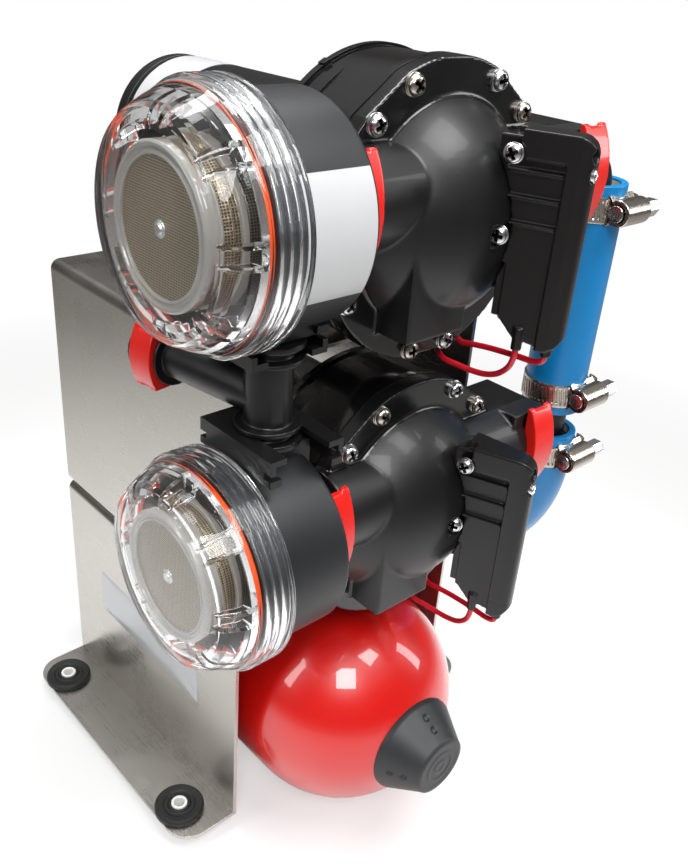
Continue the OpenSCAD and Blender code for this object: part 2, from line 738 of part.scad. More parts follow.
// Clear screw cover with ridges round its skirt and spacer lugs inside
module strainer_cover() {
    wall = 4;
    color([0.85, 0.9, 0.92, 0.35]) translate([0, port_y, port_up]) {
        difference() {
            union() {
                turn_x() polygon([
                    [0, face_x], [face_r - 2, face_x], [face_r, face_x + 1.2], [face_r + 2.2, face_x + 4.5],
                    [face_r + 4, face_x + 9], [skirt_r - 3, shoulder_x - 1.5],
                    [skirt_r - 1.4, shoulder_x + 1.5],
                    [skirt_r - 1.4, skirt_rear_x], [0, skirt_rear_x]
                ]);
                for (k = [0 : ridge_count - 1]) turn_x()
                    translate([skirt_r - 1.6, skirt_rear_x - k * ridge_pitch])
                    polygon([[0, -2], [1.2, -1.8], [1.6, -1.2], [1.6, -0.4], [1.2, 0], [0, 0]]);
            }
            turn_x() polygon([
                [0, face_x + face_t], [face_r - wall, face_x + face_t], [face_r - wall + 2.2, face_x + 6.5],
                [face_r - wall + 4, face_x + 10], [bowl_r, shoulder_x],
                [thread_r + slide_gap, shoulder_x], [thread_r + slide_gap, skirt_rear_x + 1],
                [0, skirt_rear_x + 1]
            ]);
        }
        for (k = [0 : lug_count - 1]) rotate([(k + 0.5) * 360 / lug_count, 0, 0])
            translate([face_x + face_t - 0.5, -1.2, basket_front_r + 4.6])
                cube([shoulder_x - face_x - face_t + 0.5, 2.4, 5.5]);
    }
}

// Fine-mesh basket with plastic rings: its closed end faces the cover, and its open end the outlet
module strainer_basket() {
    slope = (basket_rear_r - basket_front_r) / (basket_rear_x - basket_front_x);
    band_x = basket_front_x + 9;
    band_r0 = basket_front_r + 9 * slope;
    color([0.62, 0.6, 0.57]) translate([0, port_y, port_up]) union() {
        turn_x() polygon([
            [0, basket_front_x], [basket_front_r, basket_front_x], [basket_rear_r, basket_rear_x],
            [basket_rear_r - basket_wall, basket_rear_x],
            [basket_front_r - basket_wall, basket_front_x + basket_wall], [0, basket_front_x + basket_wall]
        ]);
        turn_x() polygon([
            [basket_front_r - 2.4, basket_front_x - 0.3], [basket_front_r + 0.4, basket_front_x - 0.3],
            [basket_front_r + 0.9, basket_front_x + 3], [basket_front_r - 0.5, basket_front_x + 3],
            [basket_front_r - 1.2, basket_front_x + 0.5]
        ]);
        turn_x() polygon([
            [band_r0 - 0.5, band_x], [band_r0 + 1.2, band_x],
                    [band_r0 + 1.4, band_x + 3], [band_r0 - 0.2, band_x + 3]
        ]);
        turn_x() polygon([
            [basket_rear_r - 1.2, basket_rear_x - 3], [basket_rear_r + 1, basket_rear_x - 3],
            [basket_rear_r + 1, basket_rear_x], [basket_rear_r - 1.2, basket_rear_x]
        ]);
        rod_x(basket_front_x - 0.4, basket_front_x + 2, 1.9);
    }
}

module strainer_seal() {
    color([0.95, 0.35, 0.1]) translate([seal_x, port_y, port_up])
        turn_x() translate([(bowl_r + thread_r) / 2, 0]) circle(seal_r);
}

// Motor can, closed in front where the drive housing sits on it
module motor_can() {
    color([0.19, 0.2, 0.21]) difference() {
        rod_y(drum_rear_y, can_rear_y, motor_r);
        rod_y(drum_rear_y + motor_wall, can_rear_y + 1, motor_r - motor_wall);
        rod_y(drum_rear_y - 1, drum_rear_y + 10, shaft_r + 3);
    }
}

module motor_end_cap() {
    end_y = can_rear_y + end_cap_l;
    color([0.08, 0.08, 0.08]) difference() {
        union() {
            turn_y() union() {
                translate([0, can_rear_y]) square([motor_r, end_cap_l - end_cap_round]);
                translate([0, can_rear_y]) square([motor_r - end_cap_round, end_cap_l]);
                translate([motor_r - end_cap_round, end_y - end_cap_round]) circle(end_cap_round);
            }
            rod_y(can_rear_y - 8, can_rear_y + 1, motor_r - motor_wall - seat_gap);
        }
        rod_y(can_rear_y - 9, end_y - 3, motor_r - motor_wall - 2.5);
        rod_y(can_rear_y - 9, end_y - 2.5, 12);
    }
    color([0.08, 0.08, 0.08]) difference() {
        rod_y(can_rear_y + 1, end_y - 1, 10);
        rod_y(can_rear_y, end_y - 3, shaft_r + run_gap);
    }
}

// Shaft, armature, commutator and eccentric, pressed together
module rotor() {
    color([0.6, 0.58, 0.55]) {
        rod_y(drum_rear_y - 18, can_rear_y + end_cap_l - 3.5, shaft_r);
        difference() {
            rod_y(-38, 36, armature_r);
            for (a = [0 : 30 : 330]) rotate([0, a, 0])
                translate([armature_r - 8, -39, -1.1]) cube([10, 76, 2.2]);
        }
        rod_y(44, 60, 11);
        translate([eccentric_off, 0, 0]) rod_y(drum_rear_y - 18, drum_rear_y - 5, 11);
    }
}

// A circle cut by five flats that lie across the screw pairs
module head_outline(r, flat) {
    corner = flat / cos(180 / screw_pairs);
    intersection() {
        circle(r);
        polygon([for (k = [0 : screw_pairs - 1]) let (a = screw_pair_first + (k + 0.5) * 360 / screw_pairs)
            corner * [cos(a), sin(a)]]);
    }
}

// Drive housing: a drum with flats across the screw pairs, a rear rim and a bearing seat
module drive_housing() {
    color([0.05, 0.05, 0.05]) difference() {
        union() {
            draw_y(flange_rear_y, flange_rear_y + 3) head_outline(head_r, cover_flat);
            draw_y(flange_rear_y + 3, facet_rear_y) head_outline(drum_r, drum_flat);
            rod_y(facet_rear_y, drum_rear_y, drum_r);
            rod_y(drum_rear_y - 3, drum_rear_y, head_r - 0.3);
            rotate([0, -118, 0]) translate([drum_r - 2, drum_rear_y - lug_l, -lug_w / 2])
                cube([lug_up + 2, lug_l, lug_w]);
        }
        rod_y(flange_rear_y - 1, drum_rear_y - 4, drum_bore_r);
        rod_y(drum_rear_y - 5, drum_rear_y + 1, shaft_r + run_gap);
        at_head_screws() rod_y(flange_rear_y - 1, flange_rear_y + 14, mount_screw_r + seat_gap);
    }
}

// Wobble plate: five pads that push the diaphragm, carried on the eccentric
module wobble_plate() {
    back = drum_rear_y - 18.5;
    color([0.75, 0.72, 0.62]) difference() {
        union() {
            rod_y(back - 4, back, 40);
            rod_y(back, drum_rear_y - 6, 18);
            for (k = [0 : 4]) rotate([0, 18 + k * 72, 0]) translate([28, 0, 0])
                rod_y(flange_rear_y + 6, back - 3, 10);
        }
        rod_y(back - 0.1, drum_rear_y, 11 + eccentric_off + 0.6);
    }
}

module valve_plate() {
    color([0.3, 0.3, 0.32]) difference() {
        rod_y(flange_rear_y, flange_rear_y + 5, drum_bore_r - seat_gap);
        for (k = [0 : 4]) rotate([0, 18 + k * 72, 0]) translate([28, 0, 0]) {
            rod_y(flange_rear_y + 2.5, flange_rear_y + 6, 11);
            for (a = [0 : 60 : 300]) rotate([0, a, 0]) translate([5, 0, 0])
                rod_y(flange_rear_y - 1, flange_rear_y + 6, 1.2);
        }
    }
}

// Front cover: flange, hollow dome, side stubs, wedge and the seat of the switch
module head_cover() {
    color([0.11, 0.11, 0.12]) difference() {
        union() {
            draw_y(head_front_y, flange_rear_y) head_outline(head_r, cover_flat);
            intersection() {
                translate([0, dome_y, 0]) sphere(dome_r);
                translate([-big / 2, head_front_y - big, -big / 2]) cube([big, big + 1, big]);
            }
            translate([0, port_y, port_up]) {
                rod_x(-inlet_end, outlet_end, stub_r);
                rod_x(-inlet_collar, outlet_collar, collar_r);
                clip_hood();
            }
            translate([-wedge_w + 1.5, head_front_y - wedge_d, -wedge_low])
                cube([wedge_w, wedge_d + 1, wedge_low]);
            switch_seat();
        }
        difference() {
            translate([0, dome_y, 0]) sphere(dome_r - dome_wall);
            translate([-big / 2, head_front_y + 5, -big / 2]) cube([big, big, big]);
            in_switch_frame() switch_screw_places() rod_x(-switch_side - 4, -switch_side + 24, 7);
        }
        in_switch_frame() switch_screw_places()
            rod_x(-switch_side - 6, -switch_side + 6.1, screw_head_r + slide_gap);
        translate([0, port_y, port_up]) {
            rod_x(-inlet_collar - 1, -drum_clear + seat_gap, spigot_r + seat_gap);
            rod_x(drum_clear - seat_gap, outlet_collar + 1, spigot_r + seat_gap);
            rod_x(-inlet_end, outlet_end, water_r);
        }
        rod_y(head_front_y + 4, flange_rear_y + 1, drum_bore_r - 10);
        rod_y(flange_rear_y, flange_rear_y + 60, head_r + slide_gap);
        at_head_screws() {
            rod_y(head_front_y - 1, flange_rear_y + 1, mount_screw_r + seat_gap);
            rod_y(head_front_y - 20, head_front_y, screw_head_r + slide_gap);
        }
        in_switch_frame() switch_screw_places() rod_x(-switch_side, -switch_side + 16, 1.6 + seat_gap);
    }
}

// Square housing round the outlet clip, open in front where the clip goes in
module clip_hood() {
    depth = 22;
    difference() {
        translate([outlet_end - 8, -collar_r + 0.4, -hood_half])
            cube([outlet_collar - outlet_end + 8, depth + collar_r, 2 * hood_half]);
        translate([outlet_end, -stub_r, -collar_r - 2 * slide_gap - clip_t])
            cube([clip_w + 10, depth + stub_r - 2, 2 * (collar_r + 2 * slide_gap + clip_t)]);
    }
}

// Switch frame: X across the switch, -Y out of the head
module in_switch_frame() rotate([0, 0, switch_angle]) children();

module switch_screw_places() {
    for (p = [[6.6, switch_top - 9], [5.6, -0.7]]) translate([0, -switch_back - p[0], p[1]]) children();
}

// Bosses on the dome that the switch's tab is screwed to
module switch_seat() {
    in_switch_frame() {
        switch_screw_places() rod_x(-switch_side + 6.1, -switch_side + 20, 5);
        translate([-switch_side + 12, -switch_back - 5, -26]) cube([14, 40, switch_top + 19]);
    }
}

module switch_plan() {
    polygon([
        [-switch_side, -switch_back - 9], [-switch_side, -switch_front + 5], [-switch_side + 0.3, -switch_front + 3.5],
        [-switch_side + 1, -switch_front + 2], [-switch_side + 2, -switch_front + 0.9],
        [-switch_side + 3.4, -switch_front + 0.2], [-switch_side + 5, -switch_front],
        [-switch_side + switch_front_t - 1, -switch_front],
        [-switch_side + switch_front_t, -switch_front + 1.5],
        [-switch_side + switch_back_t, -switch_back - 5.4],
        [-switch_side + 6.4, -switch_back - 5.4], [-switch_side + 6.4, -switch_back - 9]
    ]);
}

// Pressure switch: ribbed case, mounting tab and bottom cap with two lead glands
module switch_body() {
    color([0.13, 0.12, 0.13]) difference() {
        in_switch_frame() switch_case();
        translate([0, dome_y, 0]) sphere(dome_r + seat_gap);
        translate([0, port_y, port_up]) rod_x(-inlet_end, outlet_end, stub_r + seat_gap);
    }
}

module switch_case() {
    union() {
        difference() {
            union() {
                intersection() {
                    translate([0, 0, -switch_seam]) linear_extrude(switch_seam + switch_top) switch_plan();
                    draw_x(-switch_side - 1, -switch_side + 30) {
                        translate([-switch_front, -switch_seam - 20])
                            round_rect(switch_front, switch_top + switch_seam + 20, 7);
                        translate([-switch_front + 12, -switch_seam]) square([60, switch_top + switch_seam]);
                    }
                }
                translate([-switch_side + 3.5, -switch_back - 10, -12]) cube([2.6, 10, 48]);
            }
            // Recess between the column and the tab, in which the ribs stand
            translate([-switch_side - 1, panel_y, -switch_seam - 1])
                cube([1 + panel_deep, switch_front - switch_back, switch_top - block_h + switch_seam + 1]);
            translate([0, 0, adjuster_up]) translate([-switch_side + 4.6, 0, 0])
                rod_y(-switch_front - 1, -switch_front + 8, adjuster_r + run_gap);
            translate([-switch_side + 4.6, 0, adjuster_up + 7])
                rod_y(-switch_front - 1, -switch_front + 6, 2.8);
            switch_screw_places() rod_x(-switch_side - 1, -switch_side + 3.4, screw_head_r + 0.4);
            switch_screw_places() rod_x(-switch_side - 1, -switch_side + 20, 1.6 + seat_gap);
            switch_screw_places() rod_x(-switch_side + 6.1, -switch_side + 21, 5 + seat_gap);
        }
        for (k = [0 : panel_ribs - 1])
            translate([-switch_side + 1.2, panel_y - eps, switch_top - block_h - 4.8 - k * rib_pitch])
                cube([panel_deep - 1.2 + eps, rib_l, 1]);
        // Bottom cap: under the column it follows the case, towards the head it slants up to it
        intersection() {
            translate([0, 0, -switch_seam - switch_cap_h]) linear_extrude(switch_cap_h) switch_plan();
            draw_x(-switch_side, -switch_side + switch_front_t) polygon([
                [-switch_front, -switch_seam - 0.5], [-switch_front, -switch_seam - 3.5],
                [-switch_front + 2.5, -switch_seam - switch_cap_h + 2.2],
                [-switch_front + 6.5, -switch_seam - switch_cap_h],
                [panel_y, -switch_seam - switch_cap_h + 0.4], [panel_y, -switch_seam - 0.5]
            ]);
        }
        draw_x(-switch_side + panel_deep, -switch_side + switch_front_t) polygon([
            [panel_y - eps, -switch_seam + 1], [panel_y - eps, -switch_seam - switch_cap_h + 0.4],
            [-switch_front + 20.5, -switch_seam - switch_cap_h + 2.5], [-switch_back - 9, -switch_seam + 1]
        ]);
        translate([-switch_side + panel_deep, -switch_front + 3, -switch_seam - 1])
            cube([switch_front_t - panel_deep - 1.5, column_w - 2, 2]);
        // Glands that the leads come out of
        for (y = [5.6, 17.9]) translate([-switch_side + 4.3, -switch_front + y, 0])
            rod_z(-switch_seam - switch_cap_h - 2.4, -switch_seam - 2, 2.2);
    }
}

module switch_adjuster() {
    color([0.85, 0.85, 0.87]) in_switch_frame() translate([-switch_side + 4.6, 0, adjuster_up]) difference() {
        rod_y(-switch_front - 0.3, -switch_front + 7.5, adjuster_r);
        for (a = [0, 90]) rotate([0, a, 0]) translate([-0.4, -switch_front - 1, -adjuster_r + 0.8])
            cube([0.8, 2.4, 2 * adjuster_r - 1.6]);
    }
}

// Screws of the head and of the switch, with spring washers
module head_screws() {
    color([0.82, 0.82, 0.84]) {
        at_head_screws() {
            rod_y(head_front_y - 2, flange_rear_y + 12, mount_screw_r);
            rod_y(head_front_y - 1.2, head_front_y, screw_head_r);
            difference() {
                rod_y(head_front_y - 4, head_front_y - 1, screw_head_r - 0.4);
                translate([-2.4, head_front_y - 4.5, -0.5]) cube([4.8, 1.8, 1]);
                translate([-0.5, head_front_y - 4.5, -2.4]) cube([1, 1.8, 4.8]);
            }
        }
        in_switch_frame() switch_screw_places() {
            rod_x(-switch_side + 1, -switch_side + 15.5, 1.6);
            difference() {
                rod_x(-switch_side + 0.5, -switch_side + 3.4, screw_head_r - 0.3);
                translate([-switch_side, -2.2, -0.5]) cube([1.4, 4.4, 1]);
                translate([-switch_side, -0.5, -2.2]) cube([1.4, 1, 4.4]);
            }
        }
    }
}

// Route points of the two red leads, from the glands round the drive housing to the motor can
lead_routes = [
    [[16.76, -161.04, -45.5], [16.9, -159.8, -49], [17.6, -155, -51], [18.9, -147.5, -52.2],
     [20, -139, -53.5],
     [21, -130, -55], [21.8, -121, -56.8], [23.5, -112, -58.9], [28.5, -103, -57.8], [36, -93, -54.2],
     [41.5, -83, -50.5], [44, -73.5, -47.8], [43.5, -65, -44.2], [39.5, -58.5, -37.5], [33, -55, -29.5],
     [27.5, -53, -23.5]],
    [[12.23, -149.6, -45.5], [12.3, -149.3, -50], [13, -147, -55.5], [14.4, -141.5, -60.8],
     [16.2, -134, -64.6],
     [16.8, -126, -66.2], [15.8, -118, -66], [15, -110, -65.4], [19.5, -101.5, -63.6], [27, -92, -59.6],
     [34.5, -82, -55.2], [38.3, -72.5, -51.6], [38.2, -64.5, -48.2], [34, -58, -40],
     [28.5, -54.8, -32.5], [24, -53, -27]]
];

function unit(v) = v / norm(v);
function run_dir(p, i) = unit(p[min(i + 1, len(p) - 1)] - p[max(i - 1, 0)]);
function side_dir(d) = unit(cross(d, [1, 0, 0]));

// A round tube swept along a list of points
module swept_lead(p, r, sides) {
    n = len(p);
    rings = [for (i = [0 : n - 1]) let (d = run_dir(p, i), a = side_dir(d), b = cross(d, a))
        for (k = [0 : sides - 1]) p[i] + r * (cos(k * 360 / sides) * a + sin(k * 360 / sides) * b)];
    faces = concat(
        [[for (k = [0 : sides - 1]) k]],
        [for (i = [0 : n - 2], k = [0 : sides - 1])
            [i * sides + k, (i + 1) * sides + k,
             (i + 1) * sides + (k + 1) % sides, i * sides + (k + 1) % sides]],
        [[for (k = [sides - 1 : -1 : 0]) (n - 1) * sides + k]]
    );
    polyhedron(rings, faces, convexity = 4);
}

module switch_leads() color([0.8, 0.05, 0.1]) for (p = lead_routes) swept_lead(p, lead_r, 8);

// Bracket under the motor: base plate, two webs and a saddle
module motor_bracket() {
    base = -pump_lift + pad_under;
    color([0.7, 0.7, 0.69]) difference() {
        union() {
            translate([-mount_x - 11, mount_front_y - 11, base])
                cube([2 * mount_x + 22, mount_rear_y - mount_front_y + 22, bracket_t]);
            for (y = [mount_front_y + 10, mount_rear_y - 13]) draw_y(y, y + 3)
                polygon([[-24, base + 1], [24, base + 1], [28, -22], [-28, -22]]);
            intersection() {
                rod_y(mount_front_y + 8, mount_rear_y - 8, motor_r + 2);
                translate([-27, -100, -big]) cube([54, 200, big - 24]);
            }
        }
        rod_y(-100, 100, motor_r + seat_gap);
        at_mounts() rod_z(base - 1, base + 10, pad_r - 3.4);
    }
}

module motor_pads() {
    base = -pump_lift;
    color([0.07, 0.07, 0.07]) at_mounts() translate([0, 0, base]) difference() {
        union() {
            rod_z(0, pad_under, pad_r);
            rod_z(0, pad_under + bracket_t + 1, pad_r - 3.5);
            rod_z(pad_under + bracket_t, pad_under + bracket_t + 3, pad_r);
        }
        rod_z(-1, 20, mount_screw_r + seat_gap);
    }
}

// Outlet elbow from the upper pump down into the upper hose
module outlet_elbow() {
    bend = 12;
    color([0.1, 0.1, 0.1]) translate([0, port_y, 0]) difference() {
        union() {
            translate([0, 0, upper_port]) {
                outlet_spigot();
                rod_x(outlet_collar + 4, hose_x - bend + eps, elbow_r);
                translate([hose_x - bend, 0, -bend]) elbow_bend(bend, elbow_r);
            }
            translate([hose_x, 0, 0]) {
                rod_z(hose_top_z - 26, upper_port - bend + eps, elbow_r);
                for (z = [8, 16, 24]) barb_z(hose_top_z - z);
            }
        }
        translate([0, 0, upper_port]) {
            rod_x(drum_clear - 1, hose_x - bend + eps, elbow_r - 2);
            translate([hose_x - bend, 0, -bend]) elbow_bend(bend, elbow_r - 2);
        }
        translate([hose_x, 0, 0]) rod_z(hose_top_z - 30, upper_port - bend + eps, elbow_r - 2);
    }
}

module elbow_bend(bend, r) rotate([90, 0, 0]) rotate_extrude(angle = 90) translate([bend, 0]) circle(r);

// Spigot that goes into an outlet port, and the flange that the clip rests against
module outlet_spigot() {
    rod_x(drum_clear, outlet_collar + 3, spigot_r);
    rod_x(outlet_collar + seat_gap, outlet_collar + 4.5, collar_r);
}

// A hose barb that grows upwards from z
module barb_z(z) translate([0, 0, z]) cylinder(h = 4, r1 = barb_r - 1.2, r2 = barb_r);

// Outlet tee of the lower pump, between the two hoses
module outlet_tee() {
    color([0.1, 0.1, 0.1]) translate([0, port_y, 0]) difference() {
        union() {
            translate([0, 0, lower_port]) {
                outlet_spigot();
                rod_x(outlet_collar + 4, hose_x - hose_r - 2, tee_r);
                rod_x(outlet_collar + 4, hose_x, tee_neck_r);
            }
            translate([hose_x, 0, 0]) {
                rod_z(hose_low_top_z - 26, lower_port + tee_gap + 26, tee_r);
                for (z = [8, 16, 24]) {
                    barb_z(hose_low_top_z - z);
                    translate([0, 0, 2 * lower_port]) mirror([0, 0, 1]) barb_z(hose_low_top_z - z);
                }
            }
        }
        translate([hose_x, 0, 0]) rod_z(0, big, 7);
        translate([0, 0, lower_port]) {
            rod_x(drum_clear - 1, hose_x - hose_r - 4, 7);
            rod_x(outlet_end, hose_x, tee_neck_r - 2);
        }
    }
}

module upper_hose() {
    color([0.1, 0.55, 0.82]) translate([hose_x, port_y, 0]) difference() {
        rod_z(lower_port + tee_gap, hose_top_z, hose_r);
        rod_z(0, big, hose_r - hose_wall);
    }
}

// The lower hose drops, bends back past the right side plate, and turns in behind the tank
module hose_path(r) {
    translate([hose_x, port_y, 0]) rod_z(hose_bend_z - eps, hose_low_top_z, r);
    translate([hose_x, port_y + hose_bend_r, hose_bend_z]) rotate([0, 90, 0])
        hose_bend(-90, 90 - hose_slope, hose_bend_r, r);
    translate([hose_x, hose_level_y, hose_run_z + hose_bend_r]) {
        rotate([-hose_slope, 0, 0]) translate([0, 0, -hose_bend_r]) rod_y(-hose_fall - eps, eps, r);
        rotate([0, 90, 0]) hose_bend(-hose_slope, hose_slope, hose_bend_r, r);
    }
    translate([hose_x, 0, hose_run_z]) rod_y(hose_level_y - eps, hose_turn_y + eps, r);
    translate([hose_x - hose_turn_r, hose_turn_y, hose_run_z]) hose_bend(0, 90, hose_turn_r, r);
    translate([0, tank_tee_y, hose_run_z]) rod_x(hose_end_x, hose_x - hose_turn_r + eps, r);
}

// Part of a ring from a start angle
module hose_bend(start, sweep, bend, r) rotate([0, 0, start])
    rotate_extrude(angle = sweep) translate([bend, 0]) circle(r);

module lower_hose() {
    color([0.1, 0.55, 0.82]) difference() {
        hose_path(hose_r);
        hose_path(hose_r - hose_wall);
    }
}

// Clamp frame: the hose runs along Z, the worm screw lies along X in front of it
module on_clamp(i) {
    heights = [hose_top_z - clamp_in, lower_port + tee_gap + clamp_in, hose_low_top_z - clamp_in];
    if (i < 3) translate([hose_x, port_y, heights[i]]) children();
    else translate([hose_end_x + clamp_in, tank_tee_y, hose_run_z])
        rotate([-90, 0, 0]) rotate([0, 90, 0]) children();
}

module hose_clamps() {
    color([0.78, 0.76, 0.74]) for (i = [0 : 3]) on_clamp(i) difference() {
        union() {
            rod_z(-band_w / 2, band_w / 2, band_r);
            translate([0, -worm_out, 0]) rod_x(worm_x, worm_x + worm_l, worm_r);
            translate([worm_x, -band_r - 2, -band_w / 2]) cube([worm_l - 4, 6, band_w]);
        }
        rod_z(-20, 20, hose_r + seat_gap);
        translate([0, -worm_out, 0]) rod_x(-40, 40, screw_r + run_gap);
    }
}

module clamp_screw(i) {
    end = worm_x + worm_l;
    color([0.8, 0.82, 0.84]) on_clamp(i) translate([0, -worm_out, 0]) {
        rod_x(worm_x - 1.5, end + 2, screw_r);
        rod_x(end + 0.3, end + 2, screw_r + 1.2);
        translate([end + 1, 0, 0]) rotate([0, 90, 0]) cylinder(h = 9, r = screw_r + 0.6, $fn = 6);
    }
}

lower_bench();
upper_bench();
frame_screws();
rubber_feet();
foot_sleeves();
tank_shell();
tank_valve_cap();
tank_cradle();
tank_tee();
inlet_tee();
tee_clip();
lower_port_saddle();
upper_port_saddle();
outlet_elbow();
outlet_tee();
upper_hose();
lower_hose();
hose_clamps();
clamp_screw(0);  // clamp_screw_1
clamp_screw(1);  // clamp_screw_2
clamp_screw(2);  // clamp_screw_3
clamp_screw(3);  // clamp_screw_4
on_level(0) motor_can();  // lower_motor_can
on_level(0) motor_end_cap();  // lower_motor_end_cap
on_level(0) motor_bracket();  // lower_motor_bracket
on_level(0) motor_pads();  // lower_motor_pads
on_level(0) rotor();  // lower_rotor
on_level(0) drive_housing();  // lower_drive_housing
on_level(0) wobble_plate();  // lower_wobble_plate
on_level(0) valve_plate();  // lower_valve_plate
on_level(0) head_cover();  // lower_head_cover
on_level(0) head_screws();  // lower_head_screws
on_level(0) switch_body();  // lower_switch_body
on_level(0) switch_adjuster();  // lower_switch_adjuster
on_level(0) switch_leads();  // lower_switch_leads
on_level(0) strainer_body(1);  // lower_strainer_body
on_level(0) strainer_cover();  // lower_strainer_cover
on_level(0) strainer_basket();  // lower_strainer_basket
on_level(0) strainer_seal();  // lower_strainer_seal
on_level(0) inlet_clip();  // lower_inlet_clip
on_level(0) outlet_clip();  // lower_outlet_clip
on_level(1) motor_can();  // upper_motor_can
on_level(1) motor_end_cap();  // upper_motor_end_cap
on_level(1) motor_bracket();  // upper_motor_bracket
on_level(1) motor_pads();  // upper_motor_pads
on_level(1) rotor();  // upper_rotor
on_level(1) drive_housing();  // upper_drive_housing
on_level(1) wobble_plate();  // upper_wobble_plate
on_level(1) valve_plate();  // upper_valve_plate
on_level(1) head_cover();  // upper_head_cover
on_level(1) head_screws();  // upper_head_screws
on_level(1) switch_body();  // upper_switch_body
on_level(1) switch_adjuster();  // upper_switch_adjuster
on_level(1) switch_leads();  // upper_switch_leads
on_level(1) strainer_body(-1);  // upper_strainer_body
on_level(1) strainer_cover();  // upper_strainer_cover
on_level(1) strainer_basket();  // upper_strainer_basket
on_level(1) strainer_seal();  // upper_strainer_seal
on_level(1) inlet_clip();  // upper_inlet_clip
on_level(1) outlet_clip();  // upper_outlet_clip
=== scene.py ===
"""Looks of the twin-pump water unit.

Two diaphragm pumps with clear strainers stand one above the other on a bent steel stand, over a red tank.
Lengths are in millimetres until a mesh is made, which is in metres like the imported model. The room is
in metres too.
+X is the outlet side with the blue hoses, -Y the front with the pump heads, +Z up.
"""
import json
import math

import bmesh
import bpy
import numpy as np
from mathutils import Matrix, Vector

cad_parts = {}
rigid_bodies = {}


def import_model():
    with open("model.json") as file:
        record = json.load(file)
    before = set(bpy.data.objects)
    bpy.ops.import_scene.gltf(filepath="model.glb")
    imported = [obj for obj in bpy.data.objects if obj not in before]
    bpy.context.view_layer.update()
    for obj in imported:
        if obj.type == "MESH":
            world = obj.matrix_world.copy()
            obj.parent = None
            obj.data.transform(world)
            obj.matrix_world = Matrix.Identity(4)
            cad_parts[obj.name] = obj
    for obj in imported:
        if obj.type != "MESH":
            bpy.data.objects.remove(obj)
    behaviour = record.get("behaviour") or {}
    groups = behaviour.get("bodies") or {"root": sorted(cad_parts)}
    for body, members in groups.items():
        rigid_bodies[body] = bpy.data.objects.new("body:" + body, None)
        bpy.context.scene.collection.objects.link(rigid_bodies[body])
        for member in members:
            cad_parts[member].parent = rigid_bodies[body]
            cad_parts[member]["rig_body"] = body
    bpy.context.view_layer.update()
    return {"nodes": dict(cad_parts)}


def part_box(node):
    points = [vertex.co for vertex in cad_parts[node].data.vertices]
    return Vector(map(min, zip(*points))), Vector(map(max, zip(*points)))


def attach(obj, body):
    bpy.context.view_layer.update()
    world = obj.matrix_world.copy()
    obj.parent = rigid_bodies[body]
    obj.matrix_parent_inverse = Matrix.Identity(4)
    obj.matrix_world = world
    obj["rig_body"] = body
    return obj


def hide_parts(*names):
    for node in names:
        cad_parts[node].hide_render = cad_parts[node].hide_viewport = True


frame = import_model()

MM = 0.001
TURN = 2 * math.pi

# Heights of the motors' axes, and the ports, which lie above them along X
LEVELS = ("lower", "upper")
PUMP_AXIS = {"lower": 194.1, "upper": 327.1}
PORT_UP = 12.0
PORT_Y = -110.0
PORT_Z = {level: PUMP_AXIS[level] + PORT_UP for level in LEVELS}
PORT_AXIS = {level: (0, PORT_Y, PORT_Z[level]) for level in LEVELS}

# The flange in front of each head, and the pressure switch, which is turned about the pump's upright line
HEAD_FRONT_Y = -112.0
SWITCH_ANGLE = math.radians(21.6)

# Tank, hoses and feet
TANK_X, TANK_Z, TANK_R = -4.0, 60.8, 59.4
TANK_FRONT_Y, TANK_REAR_Y = -84.5, 0.0
HOSE_X, HOSE_R, HOSE_WALL = 109.0, 15.7, 3.6
FOOT_Y = 61.9

# Pan screws: the head, the points of its profile round the rim and over the top, and the cross recess
SCREW_R, SCREW_WASHER_R, SCREW_TALL = 3.9, 4.35, 3.95
SCREW_RIM_POINTS, SCREW_TOP_POINTS = 10, 30
RECESS_HALF, RECESS_REACH = 0.74, 2.5


# Finishes
def math_node(operation):
    """A method of Value that adds one Math node."""
    return lambda self, *others: self.maths(operation, *others)


class Value:
    """A socket of one finish. Arithmetic on it adds the Math node that works it out."""

    def __init__(self, finish, socket):
        self.finish, self.socket = finish, socket

    def maths(self, operation, *others):
        made = self.finish.node("ShaderNodeMath", {"operation": operation})
        for slot, value in enumerate((self, *others)):
            self.finish.feed(made.inputs[slot], value)
        return Value(self.finish, made.outputs[0])

    __add__, __sub__ = math_node("ADD"), math_node("SUBTRACT")
    __mul__, __truediv__, __pow__ = math_node("MULTIPLY"), math_node("DIVIDE"), math_node("POWER")
    __abs__, sine, over = math_node("ABSOLUTE"), math_node("SINE"), math_node("GREATER_THAN")
    at_most, at_least = math_node("MINIMUM"), math_node("MAXIMUM")

    def __rsub__(self, number):
        made = self.finish.node("ShaderNodeMath", {"operation": "SUBTRACT"})
        made.inputs[0].default_value = number
        self.finish.feed(made.inputs[1], self)
        return Value(self.finish, made.outputs[0])

    def limited(self):
        return self.at_least(0.0).at_most(1.0)


